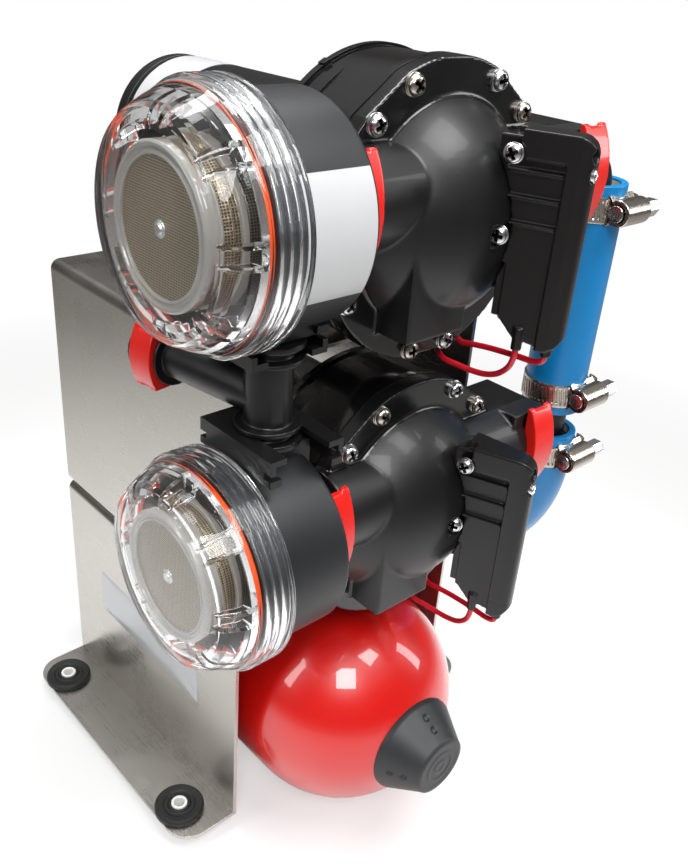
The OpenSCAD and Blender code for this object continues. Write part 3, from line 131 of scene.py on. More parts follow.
class Finish:
    """A Principled material: uniform values are set on its sockets, and what varies is fed in as Values."""

    def __init__(self, name, colour, **uniform):
        self.material = bpy.data.materials.new(name)
        self.material.use_nodes = True
        self.nodes = self.material.node_tree.nodes
        self.links = self.material.node_tree.links
        self.shader = self.nodes["Principled BSDF"]
        self.shader.inputs["Base Color"].default_value = (*colour, 1)
        for key, number in uniform.items():
            self.shader.inputs[key.replace("_", " ")].default_value = number

    def feed(self, socket, value):
        if isinstance(value, Value):
            self.links.new(value.socket, socket)
        else:
            socket.default_value = value

    def node(self, kind, settings=None, **inputs):
        made = self.nodes.new(kind)
        for key, setting in (settings or {}).items():
            setattr(made, key, setting)
        for key, value in inputs.items():
            self.feed(made.inputs[key.replace("_", " ")], value)
        return made

    def coordinates(self, kind):
        return Value(self, self.node("ShaderNodeTexCoord").outputs[kind])

    def place(self, scale=(1, 1, 1)):
        """Object coordinates in metres, scaled along each axis."""
        made = self.node("ShaderNodeMapping", Vector=self.coordinates("Object"))
        made.inputs["Scale"].default_value = scale
        return Value(self, made.outputs["Vector"])

    def apart(self, kind):
        """The X, Y and Z of the object coordinates, or the U and V of the piece's own map and a zero."""
        made = self.node("ShaderNodeSeparateXYZ", Vector=self.coordinates(kind))
        return [Value(self, made.outputs[name]) for name in "XYZ"]

    def ray(self, kind):
        """1 for rays of one kind and 0 for the others."""
        return Value(self, self.node("ShaderNodeLightPath").outputs[kind])

    def blend(self, share, low, high):
        """The surface goes from the low shader to the high one with share."""
        mix = self.node("ShaderNodeMixShader")
        self.feed(mix.inputs[0], share)
        self.links.new(low.outputs[0], mix.inputs[1])
        self.links.new(high.outputs[0], mix.inputs[2])
        self.links.new(mix.outputs[0], self.nodes["Material Output"].inputs["Surface"])

    def noise(self, where, scale, detail=2.0, rough=0.5):
        made = self.node("ShaderNodeTexNoise", Vector=where, Scale=scale, Detail=detail, Roughness=rough)
        return Value(self, made.outputs[0])

    def between(self, share, low, high):
        """A colour that goes from low to high with share."""
        made = self.node("ShaderNodeMix", {"data_type": "RGBA"})
        self.feed(made.inputs[0], share)
        for slot, colour in ((6, low), (7, high)):
            self.feed(made.inputs[slot], colour if isinstance(colour, Value) else (*colour, 1))
        return Value(self, made.outputs[2])

    def bump(self, height, strength, depth_mm):
        made = self.node("ShaderNodeBump", Height=height, Strength=strength, Distance=depth_mm * MM)
        self.links.new(made.outputs["Normal"], self.shader.inputs["Normal"])

    def varies(self, **sockets):
        for key, value in sockets.items():
            self.feed(self.shader.inputs[key.replace("_", " ")], value)


def moulded_finish(name, colour, rough, grain_mm=0.35, grain=0.12, cloud=0.25, polished_y=None, **uniform):
    """Moulded plastic or rubber: fine grain in the bump, soft clouds in colour and gloss. Behind a stated
    place on the Y axis, in mm, the mould was polished and the gloss is higher."""
    finish = Finish(name, colour, **uniform)
    where = finish.place()
    fine = finish.noise(where, 1 / (grain_mm * MM), 2.0)
    broad = finish.noise(where, 55.0, 3.0)
    scuff = finish.noise(finish.place((300, 300, 40)), 5.0, 4.0, 0.7)
    pale = tuple(min(1.0, c * (1 + cloud) + 0.004 * cloud) for c in colour)
    dark = tuple(c * (1 - cloud) for c in colour)
    gloss = broad * 0.12 + scuff * 0.08 + (rough - 0.1)
    if polished_y is not None:
        _, y, _ = finish.apart("Object")
        gloss = gloss - y.over(polished_y * MM) * 0.2
    finish.varies(Base_Color=finish.between(broad, dark, pale), Roughness=gloss.limited())
    finish.bump(fine, grain, 0.05)
    return finish.material


def in_cross_recess(finish):
    """1 inside a pan screw's cross recess and 0 beside it, from the head's own map: U is the share of the
    turn, V runs up the rim and in to the middle, and the arms are where |x| or |y| is small."""
    u, v, _ = finish.apart("UV")
    steps = SCREW_RIM_POINTS + SCREW_TOP_POINTS - 1
    radius = (1 - v) * ((SCREW_R - 0.1) * steps / (SCREW_TOP_POINTS - 1))
    x, y = (abs(((u + shift) * TURN).sine() * radius) for shift in (0.25, 0.0))
    narrow, wide = x.at_most(y), x.at_least(y)
    return (1 - narrow.over(RECESS_HALF)) * (1 - wide.over(RECESS_REACH))


def metal_finish(name, colour, rough, brush, brush_scale, depth=0.1, painted_recess_shade=False):
    """Bare metal: a stretched noise along the brushing in bump and gloss, and faint handling marks.
    A finish with painted recess shade is for pan screws: the colour in their cross recess is darkened as
    painted shade."""
    finish = Finish(name, colour, Metallic=1.0)
    lines = finish.noise(finish.place(brush), brush_scale, 3.0, 0.6)
    broad = finish.noise(finish.place(), 22.0, 4.0, 0.6)
    marks = (broad - 0.45) * 0.25
    tone = (lines + broad) * 0.11 + 0.78
    if painted_recess_shade:
        # Painted shade: the colour inside the cross recess is darkened to stand in for the shade in the hollow.
        tone = tone * (1 - in_cross_recess(finish) * 0.95)
    finish.varies(
        Base_Color=finish.between(tone.limited(), (0, 0, 0), tuple(min(1, c * 1.1) for c in colour)),
        Roughness=(lines * 0.14 + marks + (rough - 0.05)).limited(),
    )
    finish.bump(lines, depth, 0.02)
    return finish.material


def woven_finish(name, pitch_mm=0.0, around=0, along=0):
    """Fine wire cloth: square on the Y and Z axes, or with counted wires on the piece's own map.
    The wires are where either wave is high and the holes where both are low; they cross over and under."""
    finish = Finish(name, (0.3, 0.26, 0.2), Metallic=0.85)
    if pitch_mm:
        first, second = (axis / (pitch_mm * MM) for axis in finish.apart("Object")[1:])
    else:
        u, v, _ = finish.apart("UV")
        first, second = u * around, v * along
    warp, weft = (first * (TURN / 2)).sine(), (second * (TURN / 2)).sine()
    over = (first * (TURN / 4)).sine() * (second * (TURN / 4)).sine()
    wires = ((abs(warp).at_least(abs(weft)) - 0.62) * 3.2).limited()
    cloud = finish.noise(finish.place(), 60.0, 3.0)
    bright = (wires * 0.95 + cloud * 0.16 - 0.05).limited()
    finish.varies(
        Base_Color=finish.between(bright, (0.01, 0.007, 0.004), (0.4, 0.33, 0.23)),
        Roughness=(cloud * 0.2 + 0.3).limited(),
    )
    finish.bump(wires + over * 0.5, 0.7, 0.2)
    return finish.material


SATIN_BLACK = moulded_finish("satin_black_moulding", (0.0055, 0.0057, 0.0062), 0.4, 0.3, 0.14, Coat_Weight=0.1)
HEAD_BLACK = moulded_finish(
    "head_moulding", (0.0055, 0.0057, 0.0062), 0.4, 0.3, 0.12, 0.25, HEAD_FRONT_Y - 1.5, Coat_Weight=0.1
)
STRAINER_BLACK = moulded_finish("strainer_body_moulding", (0.0115, 0.0125, 0.0145), 0.44, 0.45, 0.26)
SWITCH_BLACK = moulded_finish("switch_moulding", (0.0045, 0.0038, 0.004), 0.36, 0.35, 0.14, Coat_Weight=0.08)
GLOSS_BLACK = moulded_finish("gloss_black_moulding", (0.0028, 0.0028, 0.003), 0.15, 1.4, 0.02, Coat_Weight=0.6)
TEE_BLACK = moulded_finish("fitting_moulding", (0.0058, 0.0058, 0.0062), 0.34, 0.3, 0.12)
MOTOR_BLACK = moulded_finish("motor_paint", (0.0075, 0.008, 0.0085), 0.28, 0.5, 0.1, Coat_Weight=0.35)
CLIP_RED = moulded_finish("clip_red", (0.74, 0.014, 0.009), 0.3, 0.8, 0.04, 0.12, Coat_Weight=0.4)
RUBBER = moulded_finish("foot_rubber", (0.007, 0.007, 0.007), 0.58, 0.3, 0.3)
WHITE_PLASTIC = moulded_finish("sleeve_white", (0.8, 0.8, 0.78), 0.4, 0.4, 0.08, 0.06)
CAP_GREY = moulded_finish("cap_grey", (0.021, 0.023, 0.0255), 0.47, 0.35, 0.26)
HOSE_BLUE = moulded_finish("hose_blue", (0.0015, 0.2, 0.5), 0.32, 0.9, 0.06, 0.12, Coat_Weight=0.2)
LINING = moulded_finish("hose_lining", (0.55, 0.6, 0.58), 0.5, 0.5, 0.1, 0.1)
SEAL_ORANGE = moulded_finish("seal_orange", (0.95, 0.085, 0.006), 0.35, 0.6, 0.05, 0.08)
LEAD_RED = moulded_finish("lead_red", (0.62, 0.006, 0.02), 0.35, 0.6, 0.05, 0.15, Coat_Weight=0.2)
LABEL = moulded_finish("bare_label", (0.56, 0.57, 0.58), 0.33, 0.5, 0.03, 0.05, Coat_Weight=0.3)
PLATE_LABEL = moulded_finish("bare_silver_label", (0.52, 0.53, 0.55), 0.3, 0.5, 0.03, 0.06, Metallic=0.35)
PALE = moulded_finish("pale_moulding", (0.6, 0.56, 0.45), 0.5, 0.5, 0.1, 0.1)
RING_GREY = moulded_finish("basket_ring", (0.32, 0.3, 0.275), 0.12, 0.6, 0.05, 0.1, Coat_Weight=0.8)
STAND_STEEL = metal_finish("stand_steel", (0.56, 0.535, 0.5), 0.25, (4, 0.05, 4), 600.0, 0.08)
BRIGHT_STEEL = metal_finish("bright_steel", (0.74, 0.75, 0.76), 0.22, (1, 1, 1), 900.0, 0.1)
ZINC_SCREWS = metal_finish("zinc_screws", (0.74, 0.75, 0.76), 0.22, (1, 1, 1), 900.0, 0.1, painted_recess_shade=True)
NICKEL = metal_finish("nickel_screws", (0.66, 0.61, 0.54), 0.24, (1, 1, 1), 900.0, 0.1, painted_recess_shade=True)
CLAMP_STEEL = metal_finish("clamp_steel", (0.6, 0.55, 0.49), 0.2, (1, 1, 0.1), 700.0, 0.08)
CORE_STEEL = metal_finish("armature_steel", (0.35, 0.33, 0.3), 0.42, (0.2, 4, 0.2), 700.0, 0.25)
MESH_FRONT = woven_finish("basket_cloth_front", 0.9)
MESH_SIDE = woven_finish("basket_cloth_side", 0.0, 180, 52)


def tank_finish():
    """Gloss enamel: very low orange peel under a clear coat."""
    finish = Finish("tank_enamel", (0.68, 0.006, 0.008), Coat_Weight=1.0, Coat_Roughness=0.02)
    broad = finish.noise(finish.place(), 14.0, 3.0)
    peel = finish.noise(finish.place(), 260.0, 1.0)
    finish.varies(
        Base_Color=finish.between(broad, (0.56, 0.0025, 0.002), (0.74, 0.007, 0.003)),
        Roughness=(broad * 0.1 + 0.3).limited(),
    )
    finish.bump(peel, 0.05, 0.12)
    return finish.material


def clear_finish():
    """Clear moulding: the camera's rays are mostly bent by it, while light on its way to the basket and the
    seal inside passes straight on."""
    finish = Finish("clear_moulding", (0.96, 0.98, 0.985), IOR=1.36, Transmission_Weight=1.0)
    flow = finish.noise(finish.place((40, 40, 40)), 1.0, 1.0)
    scratch = finish.noise(finish.place((900, 60, 900)), 1.0, 3.0)
    finish.varies(Roughness=(scratch * 0.01).limited())
    finish.bump(flow, 0.01, 0.04)
    straight = finish.node("ShaderNodeBsdfTransparent")
    straight.inputs["Color"].default_value = (0.95, 0.965, 0.97, 1)
    lighting = finish.ray("Is Shadow Ray").at_least(finish.ray("Is Diffuse Ray"))
    finish.blend((flow * 0.08 + 0.93 - lighting).limited(), straight, finish.shader)
    return finish.material


TANK_RED = tank_finish()
CLEAR = clear_finish()


# Surfaces
def rounded(points, radius=1.0, steps=5, closed=False):
    """A polyline with each corner replaced by an arc that touches both its sides, as far as they allow."""
    points = [np.array(p, float) for p in points]
    made, n = [], len(points)
    for i, p in enumerate(points):
        if not closed and i in (0, n - 1):
            made.append(p)
            continue
        a, b = points[i - 1] - p, points[(i + 1) % n] - p
        la, lb = np.linalg.norm(a), np.linalg.norm(b)
        a, b = a / la, b / lb
        half = math.acos(max(-1.0, min(1.0, float(a @ b)))) / 2
        if half > 1.5:
            made.append(p)
            continue
        cut = min(radius / math.tan(half), 0.45 * la, 0.45 * lb)
        r = cut * math.tan(half)
        middle = p + (a + b) / np.linalg.norm(a + b) * (r / math.sin(half))
        start, end = p + a * cut - middle, p + b * cut - middle
        total = math.acos(max(-1.0, min(1.0, float(start @ end) / (r * r))))
        for k in range(steps + 1):
            t = k / steps
            arc = (math.sin((1 - t) * total) * start + math.sin(t * total) * end) / math.sin(total)
            made.append(middle + arc)
    if closed:
        made.append(made[0])
    return np.array(made)


# The two directions across each axis, and the axis itself
AXES = {
    "x": (np.array([0, 1.0, 0]), np.array([0, 0, 1.0]), np.array([1.0, 0, 0])),
    "y": (np.array([0, 0, 1.0]), np.array([1.0, 0, 0]), np.array([0, 1.0, 0])),
    "z": (np.array([1.0, 0, 0]), np.array([0, 1.0, 0]), np.array([0, 0, 1.0])),
}


def turned(profile, axis, origin, around=96, change=None, start=0.0, sweep=TURN):
    """A profile of (radius, height) turned about an axis through origin: each point goes to
    origin + radius * (cos angle, sin angle across the axis) + height along it.
    change(angle, radius, height) may return a new radius and height for the whole grid."""
    profile = np.array(profile, float)
    area = np.sum(profile[:-1, 0] * profile[1:, 1] - profile[1:, 0] * profile[:-1, 1])
    area += profile[-1, 0] * profile[0, 1] - profile[0, 0] * profile[-1, 1]
    if area < 0:
        profile = profile[::-1]
    angle = start + np.linspace(0, sweep, around + 1)[:, None]
    radius, height = (np.broadcast_to(profile[:, k], (around + 1, len(profile))) for k in (0, 1))
    if change:
        radius, height = change(angle, radius, height)
    first, second, along = AXES[axis]
    return (
        np.array(origin, float)
        + radius[..., None] * (np.cos(angle)[..., None] * first + np.sin(angle)[..., None] * second)
        + height[..., None] * along
    )


def tube(points, radius, around=24, ends=True):
    """A round tube along a smooth path: rings stand across the path, carried along it without twist."""
    points = np.array(points, float)
    ahead = np.gradient(points, axis=0)
    ahead /= np.linalg.norm(ahead, axis=1)[:, None]
    side = np.cross(ahead[0], [0.31, 0.17, 0.93])
    side /= np.linalg.norm(side)
    sides = []
    for direction in ahead:
        side = side - direction * (side @ direction)
        side /= np.linalg.norm(side)
        sides.append(side)
    sides = np.array(sides)
    other = np.cross(ahead, sides)
    radius = np.broadcast_to(radius, len(points)).astype(float)
    if ends:
        points = np.concatenate([points[:1], points, points[-1:]])
        radius = np.concatenate([[0], radius, [0]])
        sides, other = (np.concatenate([a[:1], a, a[-1:]]) for a in (sides, other))
    angle = np.linspace(0, TURN, around + 1)[:, None, None]
    return points + radius[:, None] * (np.cos(angle) * sides + np.sin(angle) * other)


def smooth_path(points, steps=8):
    """A Catmull-Rom curve through the points."""
    p = np.array(points, float)
    p = np.concatenate([[2 * p[0] - p[1]], p, [2 * p[-1] - p[-2]]])
    t = np.linspace(0, 1, steps, endpoint=False)[:, None]
    made = []
    for a, b, c, d in zip(p[:-3], p[1:-2], p[2:-1], p[3:]):
        bend, twist = 2 * a - 5 * b + 4 * c - d, 3 * b - a - 3 * c + d
        made.append(0.5 * (2 * b + (c - a) * t + bend * t**2 + twist * t**3))
    made.append(p[-2:-1])
    return np.concatenate(made)


def moved(grid, matrix):
    """A grid of points through a 4 by 4 matrix."""
    matrix = np.array(matrix, float)
    return grid @ matrix[:3, :3].T + matrix[:3, 3]


def finish_object(mesh, name, material, body, stands_for=(), sharp=38.0, weighted=True):
    """Smooth shading with sharp edges kept, a finish, a body to ride on and the nodes it stands for."""
    mesh.polygons.foreach_set("use_smooth", np.ones(len(mesh.polygons), bool))
    mesh.set_sharp_from_angle(angle=math.radians(sharp))
    made = bpy.data.objects.new(name, mesh)
    bpy.context.scene.collection.objects.link(made)
    # Clearing the list of materials would set every face to the first one
    which = np.zeros(len(mesh.polygons), np.int32)
    mesh.polygons.foreach_get("material_index", which)
    mesh.materials.clear()
    for one in material if isinstance(material, (list, tuple)) else [material]:
        mesh.materials.append(one)
    mesh.polygons.foreach_set("material_index", which)
    if weighted:
        weights = made.modifiers.new("even_shading", "WEIGHTED_NORMAL")
        weights.keep_sharp = True
    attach(made, body)
    if stands_for:
        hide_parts(*stands_for)
    return made


def piece(name, grids, material, body, stands_for=(), sharp=38.0, material_of=None, weighted=True):
    """Grids of points (rows by columns, in mm) as quads of one mesh. The outside is where the step from row
    to row, crossed with the step from column to column, points."""
    points, faces, uvs, which, count = [], [], [], [], 0
    for k, grid in enumerate(grids):
        rows, columns = grid.shape[:2]
        index = count + np.arange(rows * columns).reshape(rows, columns)
        corners = [index[:-1, :-1], index[1:, :-1], index[1:, 1:], index[:-1, 1:]]
        faces.append(np.stack(corners, -1).reshape(-1, 4))
        points.append(grid.reshape(-1, 3))
        u, v = np.meshgrid(np.linspace(0, 1, rows), np.linspace(0, 1, columns), indexing="ij")
        uvs.append(np.stack([u, v], -1).reshape(-1, 2))
        which.append(np.full(len(faces[-1]), material_of[k] if material_of else 0))
        count += rows * columns
    points, faces, uvs = np.concatenate(points) * MM, np.concatenate(faces), np.concatenate(uvs)
    mesh = bpy.data.meshes.new(name)
    mesh.from_pydata(points.tolist(), [], faces.tolist())
    layer = mesh.uv_layers.new(name="surface")
    layer.data.foreach_set("uv", uvs[faces.reshape(-1)].astype(np.float32).ravel())
    mesh.polygons.foreach_set("material_index", np.concatenate(which).astype(np.int32))
    weld(mesh)
    finish_object(mesh, name, material, body, stands_for, sharp, weighted)


def weld(mesh, near=2e-6, flatten=False):
    """Merges points that lie together and drops the faces that vanish, and may join flat neighbours."""
    work = bmesh.new()
    work.from_mesh(mesh)
    bmesh.ops.remove_doubles(work, verts=work.verts, dist=near)
    bmesh.ops.dissolve_degenerate(work, edges=work.edges, dist=near)
    if flatten:
        flat = {"angle_limit": math.radians(0.5), "use_dissolve_boundaries": False}
        bmesh.ops.dissolve_limit(work, verts=work.verts, edges=work.edges, **flat)
    work.to_mesh(mesh)
    work.free()
    mesh.validate()


def copy_of(node, suffix, flatten=False):
    source = frame["nodes"][node]
    mesh = source.data.copy()
    mesh.name = node + suffix
    weld(mesh, 1e-5, flatten)
    return mesh, source["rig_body"]


def moulded(node, material, voxel, rounds=3):
    """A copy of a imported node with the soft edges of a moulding: it is rebuilt in small cubes and relaxed."""
    mesh, body = copy_of(node, "_moulding")
    made = finish_object(mesh, node + "_moulding", material, body, (node,), 60.0, False)
    rebuild = made.modifiers.new("rebuild", "REMESH")
    rebuild.mode = "VOXEL"
    rebuild.voxel_size = voxel * MM
    rebuild.use_smooth_shade = True
    relax = made.modifiers.new("relax", "SMOOTH")
    relax.factor = 0.5
    relax.iterations = rounds


def edged(node, material, width, segments=2):
    """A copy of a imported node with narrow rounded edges."""
    mesh, body = copy_of(node, "_edged", True)
    made = finish_object(mesh, node + "_edged", material, body, (node,), 38.0, False)
    edge = made.modifiers.new("edges", "BEVEL")
    edge.width = width * MM
    edge.segments = segments
    edge.limit_method = "ANGLE"
    edge.angle_limit = math.radians(32)
    edge.harden_normals = False
    weights = made.modifiers.new("even_shading", "WEIGHTED_NORMAL")
    weights.keep_sharp = True


def dressed(node, material):
    """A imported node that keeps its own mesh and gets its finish."""
    mesh = frame["nodes"][node].data
    mesh.materials.clear()
    mesh.materials.append(material)


def step(x, low, high):
    """A smooth step from 0 below low to 1 above high."""
    t = np.clip((x - low) / (high - low), 0, 1)
    return t * t * (3 - 2 * t)


def at(x, y, z):
    return Matrix.Translation((x, y, z))


def turn(axis, angle):
    return Matrix.Rotation(angle, 4, axis)


# Strainers: the cover's face, the shoulder inside it and its skirt's end, the thread on the body, the seal
# between them and the basket's two ends, all along X
FACE_X, SHOULDER_X, SKIRT_REAR_X = -130.6, -116.9, -101.8
RIDGES, RIDGE_PITCH = 4, 3.5
LUGS = 8
THREAD_X, THREAD_R, THREAD_PITCH, THREAD_BORE_R = (-113.6, -102.6), 40.6, 2.9, 36.5
SEAL_X, SEAL_R, SEAL_CORD_R = -115.2, 38.95, 1.6
BASKET_FRONT_X, BASKET_REAR_X = -125.7, -73.9
BODY_LABEL_X, BODY_LABEL_R = (-100.4, -72.9), 40.02


def strainer_cover(level):
    """Clear screw cover, one closed surface turned about the port: the outside has a round shoulder and
    grip ridges, the inside a stepped bore, and paired ribs rise from the inner shoulder at eight places."""
    ridges = []
    for k in range(RIDGES):
        x = SKIRT_REAR_X - RIDGE_PITCH * k
        ridges += [(43.2, x), (44.6, x - 0.35), (44.8, x - 1.0), (44.3, x - 1.7), (43.1, x - 2.2)]
    outside = [(0, FACE_X), (33.9, FACE_X), (35.8, FACE_X + 0.4), (37.3, FACE_X + 2.2), (38.9, FACE_X + 5.2)]
    outside += [(40.4, FACE_X + 8.4), (41.9, SHOULDER_X - 1.6), (42.9, SHOULDER_X + 0.2)]
    outside += ridges[::-1]
    inside = [(41.7, SKIRT_REAR_X), (41.7, SHOULDER_X), (36.8, SHOULDER_X), (36.4, FACE_X + 10)]
    inside += [(34.8, FACE_X + 6.3), (32.4, FACE_X + 3.9), (29.6, FACE_X + 3.5), (0, FACE_X + 3.5)]
    profile = rounded(outside + inside, 0.45, 4)

    def lugs(angle, radius, height):
        phase = (angle / TURN * LUGS - 0.5) % 1.0 - 0.5
        across = np.abs(phase) * TURN / LUGS * 36.0
        rib = step(across, 2.3, 2.7) * (1 - step(across, 3.9, 4.3))
        inner = (radius < 37.2) & (radius > 31.5) & (height > FACE_X + 3.3) & (height < SHOULDER_X + 0.1)
        long = step(height, FACE_X + 3.6, FACE_X + 4.4)
        return np.where(inner, radius - 3.4 * rib * long, radius), height

    return turned(profile, "x", PORT_AXIS[level], 720, lugs)


def body_thread(level):
    """Screw thread on the body's mouth: the radius follows a rounded saw along the turn and the length."""
    xs = np.linspace(THREAD_X[0] + 0.1, THREAD_X[1] + 0.4, 60)
    outside = np.stack([np.full_like(xs, THREAD_R), xs], 1)
    profile = np.concatenate([[(THREAD_BORE_R, xs[0])], outside, [(THREAD_BORE_R, xs[-1])]])

    def thread(angle, radius, height):
        wave = np.cos(TURN * (height / THREAD_PITCH - angle / TURN))
        return np.where(radius > THREAD_BORE_R + 1.5, radius + 0.62 * np.tanh(1.6 * wave), radius), height

    return turned(profile, "x", PORT_AXIS[level], 180, thread)


def basket(level):
    """Wire-cloth basket: a flat front and a cone of woven mesh, held by three plastic rings and a rivet."""
    origin, front, rear = PORT_AXIS[level], BASKET_FRONT_X, BASKET_REAR_X
    disc_r, cloth, front_r, rear_r, wall_share = 25.4, 0.5, 26.0, 31.0, 0.975
    disc = turned([(0, front), (disc_r, front)], "x", origin, 120)
    disc_back = turned([(disc_r, front + cloth), (0, front + cloth)], "x", origin, 120)
    cone = turned(np.linspace((front_r, front), (rear_r, rear), 24), "x", origin, 160)
    inner = cone[:, ::-1].copy()
    centre = np.array(origin)
    inner[..., 1:] = centre[1:] + (inner[..., 1:] - centre[1:]) * wall_share
    sections = [
        [(22.0, front + 0.4), (22.2, front - 0.9), (22.9, front - 1.2), (23.5, front - 0.4),
         (24.4, front - 0.3), (24.9, front - 1.3), (25.9, front - 1.3), (26.7, front - 0.5),
         (26.9, front + 3.4), (25.2, front + 3.4), (25.2, front + 0.4)],
        [(26.4, front + 9.6), (28.0, front + 9.6), (28.4, front + 13.4), (26.2, front + 13.4)],
        [(30.2, rear - 3.3), (31.7, rear - 3.3), (31.9, rear), (30.0, rear)],
    ]
    rings = [turned(rounded(section, 0.5, 4, True), "x", origin, 144) for section in sections]
    stem = [(0, front - 1.25), (1.7, front - 1.2), (2.1, front - 0.5), (2.9, front - 0.35), (3.0, front + 0.1),
            (1.9, front + 1.8), (0, front + 1.8)]
    rivet = turned(rounded(stem, 0.35), "x", origin, 48)
    return [disc, disc_back, cone, inner, *rings, rivet], [0, 0, 1, 1, 2, 2, 2, 3]


def strainer_label(level):
    """A bare label that lies on the strainer body, a thin sheet bent to its radius."""
    low, high, inside, outside = *BODY_LABEL_X, BODY_LABEL_R, BODY_LABEL_R + 0.12
    profile = rounded([(inside, low), (outside, low), (outside, high), (inside, high)], 0.05, 2, True)
    start, sweep = math.radians(148), math.radians(61.5)
    return turned(profile, "x", PORT_AXIS[level], 60, start=start, sweep=sweep)


def seal_ring(level):
    """A round cord in the seat behind the cover's shoulder."""
    t = np.linspace(0, TURN, 25)
    section = np.stack([SEAL_R + SEAL_CORD_R * np.cos(t), SEAL_X + SEAL_CORD_R * np.sin(t)], 1)
    return turned(section, "x", PORT_AXIS[level], 128)


BASKET_FINISHES = [MESH_FRONT, MESH_SIDE, RING_GREY, BRIGHT_STEEL]
for level in LEVELS:
    node = level + "_strainer_cover"
    cover, body = [strainer_cover(level)], node + "_body"
    piece(level + "_clear_cover", cover, CLEAR, body, (node,), 50)
    node, body, (grids, which) = level + "_strainer_basket", level + "_basket_body", basket(level)
    piece(level + "_wire_basket", grids, BASKET_FINISHES, body, (node,), 50, which)
    piece(level + "_body_thread", [body_thread(level)], STRAINER_BLACK, "unit", (), 60)
    node = level + "_strainer_seal"
    piece(level + "_seal_ring", [seal_ring(level)], SEAL_ORANGE, "unit", (node,))
piece("upper_strainer_label", [strainer_label("upper")], LABEL, "unit")


# Screws
def cross_share(angle, radius, half, reach):
    """1 in a cross recess and 0 beside it: the arms are where the smaller of |x| and |y| is small."""
    x, y = np.abs(radius * np.cos(angle)), np.abs(radius * np.sin(angle))
    return (1 - step(np.minimum(x, y), *half)) * (1 - step(np.maximum(x, y), *reach))


def pan_screw():
    """A pan head over a spring washer and a flat washer, with a cross recess: the head's height falls
    towards its rim with the fourth power of the radius."""
    washer, head, rim_top, recess_deep = SCREW_WASHER_R, SCREW_R, 2.3, 3.4
    rim = [(washer, 0.0), (washer, 0.5), (washer - 0.15, 0.62), (washer - 0.35, 0.66), (washer - 0.1, 0.75),
           (washer - 0.1, 1.2), (washer - 0.3, 1.3), (head, 1.35), (head, 1.9), (head - 0.02, rim_top)]
    top = np.linspace(head - 0.1, 0, SCREW_TOP_POINTS)
    heights = SCREW_TALL - 1.5 * (top / head) ** 4
    profile = np.concatenate([rim, np.stack([top, heights], 1)])

    def recess(angle, radius, height):
        half, reach = (RECESS_HALF - 0.08, RECESS_HALF + 0.06), (RECESS_REACH - 0.1, RECESS_REACH + 0.2)
        sunk = cross_share(angle, radius, half, reach)
        return radius, height - recess_deep * np.where(height > rim_top + 0.01, sunk, 0)

    return turned(profile, "z", (0, 0, 0), 72, recess)


SCREW = pan_screw()
HEAD_SCREW_CIRCLE_R, HEAD_SCREW_PAIRS, FIRST_PAIR_ANGLE, PAIR_HALF_ANGLE = 55.7, 5, 54, 11.2
SWITCH_SCREW_X, SWITCH_SCREWS = -47.35, ((-131.6, 30.0), (-130.6, -0.7))
SWITCH_SCREW_SIZE = np.array([0.9, 0.9, 0.84])


def head_screws(level, side):
    """One screw of each pair round the head. Seen from the front, side is 1 for the one further against the
    clock and -1 for the other. Their recesses are turned by uneven steps, as a fitter leaves them."""
    grids = []
    for k in range(HEAD_SCREW_PAIRS):
        angle = math.radians(FIRST_PAIR_ANGLE + 360 / HEAD_SCREW_PAIRS * k + PAIR_HALF_ANGLE * side)
        x, z = HEAD_SCREW_CIRCLE_R * math.cos(angle), PUMP_AXIS[level] + HEAD_SCREW_CIRCLE_R * math.sin(angle)
        place = at(x, HEAD_FRONT_Y, z) @ turn("X", math.pi / 2)
        grids.append(moved(SCREW, place @ turn("Z", 0.7 + 1.9 * k + (side + 1) / 2)))
    return grids


def switch_screws(level):
    """Two smaller screws in the switch's broad face."""
    grids = []
    for k, (y, up) in enumerate(SWITCH_SCREWS):
        face = turn("Z", SWITCH_ANGLE) @ at(SWITCH_SCREW_X, y, 0) @ turn("Y", -math.pi / 2)
        place = at(0, 0, PUMP_AXIS[level] + up) @ face @ turn("Z", 0.5 + k)
        grids.append(moved(SCREW * SWITCH_SCREW_SIZE, place))
    return grids


def adjuster(level):
    """Cross-headed adjusting screw in the switch's narrow face, with the recess sunk into its domed end."""
    screw_r, half, recess_deep = 2.5, 3.9, 1.5
    top = np.linspace(screw_r - 0.25, 0, 20)
    end = np.stack([top, half + 0.45 - 0.4 * (top / screw_r) ** 2], 1)
    shank = [(0, -half), (screw_r, -half), (screw_r, half - 0.25), (screw_r - 0.1, half - 0.05)]

    def recess(angle, radius, height):
        sunk = cross_share(angle, radius, (0.32, 0.5), (1.5, 1.9))
        return radius, height - recess_deep * np.where(height > half, sunk, 0)

    low, high = (np.array(corner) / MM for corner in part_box(level + "_switch_adjuster"))
    place = at(*(low + high) / 2) @ turn("Z", SWITCH_ANGLE) @ turn("X", math.pi / 2) @ turn("Z", 0.5)
    return moved(turned(np.concatenate([shank, end]), "z", (0, 0, 0), 64, recess), place)


